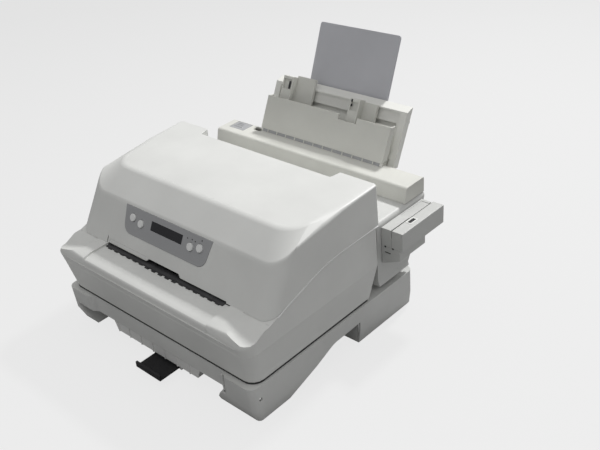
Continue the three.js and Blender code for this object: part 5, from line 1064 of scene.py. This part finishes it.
# Ribs standing in the gap under the hopper's front plate, over a grey strip that is painted shade in the gap
ribs = {
    "first": -105, "pitch": 19, "count": 12, "width": 1.5,
    "profile": [(-0.9, 0.15), (1.2, 0.85), (1.2, 4.9), (-0.9, 4.9)],
    "shadeBacking": [(0.4, 0.4), (1.3, 0.85), (1.3, 4.85), (0.4, 4.85)], "shadeBackingHalf": 116,
}
for i in range(ribs["count"]):
    x = ribs["first"] + i * ribs["pitch"]
    rib = prismPiece(f"plate_rib_{i + 1}", ribs["profile"], x, x + ribs["width"], inHopper)
    fit(rib, "feederCream", "hopper_front_plate")
gapShadeBacking = prismPiece("plate_gap_shade_strip", ribs["shadeBacking"], -ribs["shadeBackingHalf"], ribs["shadeBackingHalf"], inHopper)
# Its grey panel finish paints the shade in the gap.
fit(gapShadeBacking, "panelGrey", "hopper_front_plate")

# Black patches on the fronts of the guides: painted shade inside their finger slots
fingerSlotShades = {
    "places": {  # left, right, low, high
        "paper_guide_left": [(-89.2, -85.6, 75.5, 88)],
        "paper_guide_right": [(36.3, 39.2, 80.2, 84.4), (36.9, 39.8, 73.4, 77.4)],
    },
    "front": 6.72, "rear": 7.3, "soften": 0.1,
}
front, rear = fingerSlotShades["front"], fingerSlotShades["rear"]
for node, places in fingerSlotShades["places"].items():
    for i, (left, right, low, high) in enumerate(places, 1):
        shape = [(front, low), (rear, low), (rear, high), (front, high)]
        slot = prismPiece(f"{node}_slot_{i}", shape, left, right, inHopper)
        # The black finish paints the shade inside the slot.
        fit(slot, "blackPlastic", node, fingerSlotShades["soften"])

# The reader bracket's screws, and under them a black patch that is painted shade in a short slot
bracket = {
    "screws": [(197.2, 135.6), (209.8, 135.7)], "screwRadius": 1.5, "screwProud": 0.6, "screwSteps": 16,
    "slotLow": (196.6, 126.0), "slotHigh": (205.8, 127.3), "slotProud": 0.55, "slotSoften": 0.15,
    "sunk": 0.1,
}
bracketFront = span("reader_bracket")[0][1]
bracketRear = bracketFront + bracket["sunk"]


def standing(x, z, y):
    return spot(x, y, z)


for i, (x, z) in enumerate(bracket["screws"], 1):
    head = [(x + a, z + b) for a, b in circle(bracket["screwRadius"], bracket["screwSteps"])]
    front = bracketFront - bracket["screwProud"]
    screw = prismPiece(f"reader_screw_{i}", head, bracketRear, front, standing)
    fit(screw, "blackPlastic", "reader_bracket")
(left, low), (right, high) = bracket["slotLow"], bracket["slotHigh"]
front = bracketFront - bracket["slotProud"]
bracketSlotShade = boxPiece("reader_bracket_slot_shade", (left, front, low), (right, bracketRear, high))
# The black finish paints the shade in the slot.
fit(bracketSlotShade, "blackPlastic", "reader_bracket", bracket["slotSoften"])

# A frame around the reader's window
windowFrame = {
    "lap": 0.1, "sideBorder": 2.3, "endBorder": 2.0, "radius": 0.8, "steps": 3,
    "sunk": 0.1, "proud": 0.4, "soften": 0.1,
}


def windowOutline(form, sideGrow, endGrow):
    (left, front, _), (right, rear, _) = span("reader_window")
    left, right = left + form["lap"] - sideGrow, right - form["lap"] + sideGrow
    front, rear = front + form["lap"] - endGrow, rear - form["lap"] + endGrow
    radius = form["radius"]
    return roundedOutline([
        (left, front, radius), (right, front, radius), (right, rear, radius), (left, rear, radius),
    ], form["steps"])


readerTop = span("reader_outer_block")[1][2]
outer = windowOutline(windowFrame, windowFrame["sideBorder"], windowFrame["endBorder"])
inner = windowOutline(windowFrame, 0, 0)
low, high = readerTop - windowFrame["sunk"], readerTop + windowFrame["proud"]
windowRing = ringPiece("reader_window_frame", outer, inner, low, high)
fit(windowRing, "caseWhite", "reader_outer_block", windowFrame["soften"])
print("small fittings are in place")


# The nodes that stay in view as they are get their finish.
inside = {
    "rubberBlack": ["foot_pad_front_left", "foot_pad_front_right", "foot_pad_rear_left",
                    "foot_pad_rear_right", "platen", "front_drive_roller", "rear_drive_roller",
                    "front_pinch_roller", "rear_pinch_roller", "pickup_roller", "carriage_belt"],
    "gearPlastic": ["front_feed_gear", "rear_feed_gear", "motor_pinion", "drive_pulley", "idler_pulley"],
    "blackPlastic": ["carriage", "ribbon_cassette", "power_inlet", "switch_bezel", "power_rocker"],
    "circuitGreen": ["main_board"],
    "platedSteel": ["chassis_base", "chassis_side_left", "chassis_side_right", "paper_bed", "feed_motor",
                    "carriage_shaft", "carriage_bridge", "carriage_motor", "print_head", "power_supply",
                    "hinge_pin_left", "hinge_pin_right", "interface_socket"],
}
for finish, nodes in inside.items():
    for node in nodes:
        mesh = frame["nodes"][node].data
        mesh.materials.clear()
        mesh.materials.append(materials[finish])
print("inner nodes are finished:", sum(len(nodes) for nodes in inside.values()))

low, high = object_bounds()
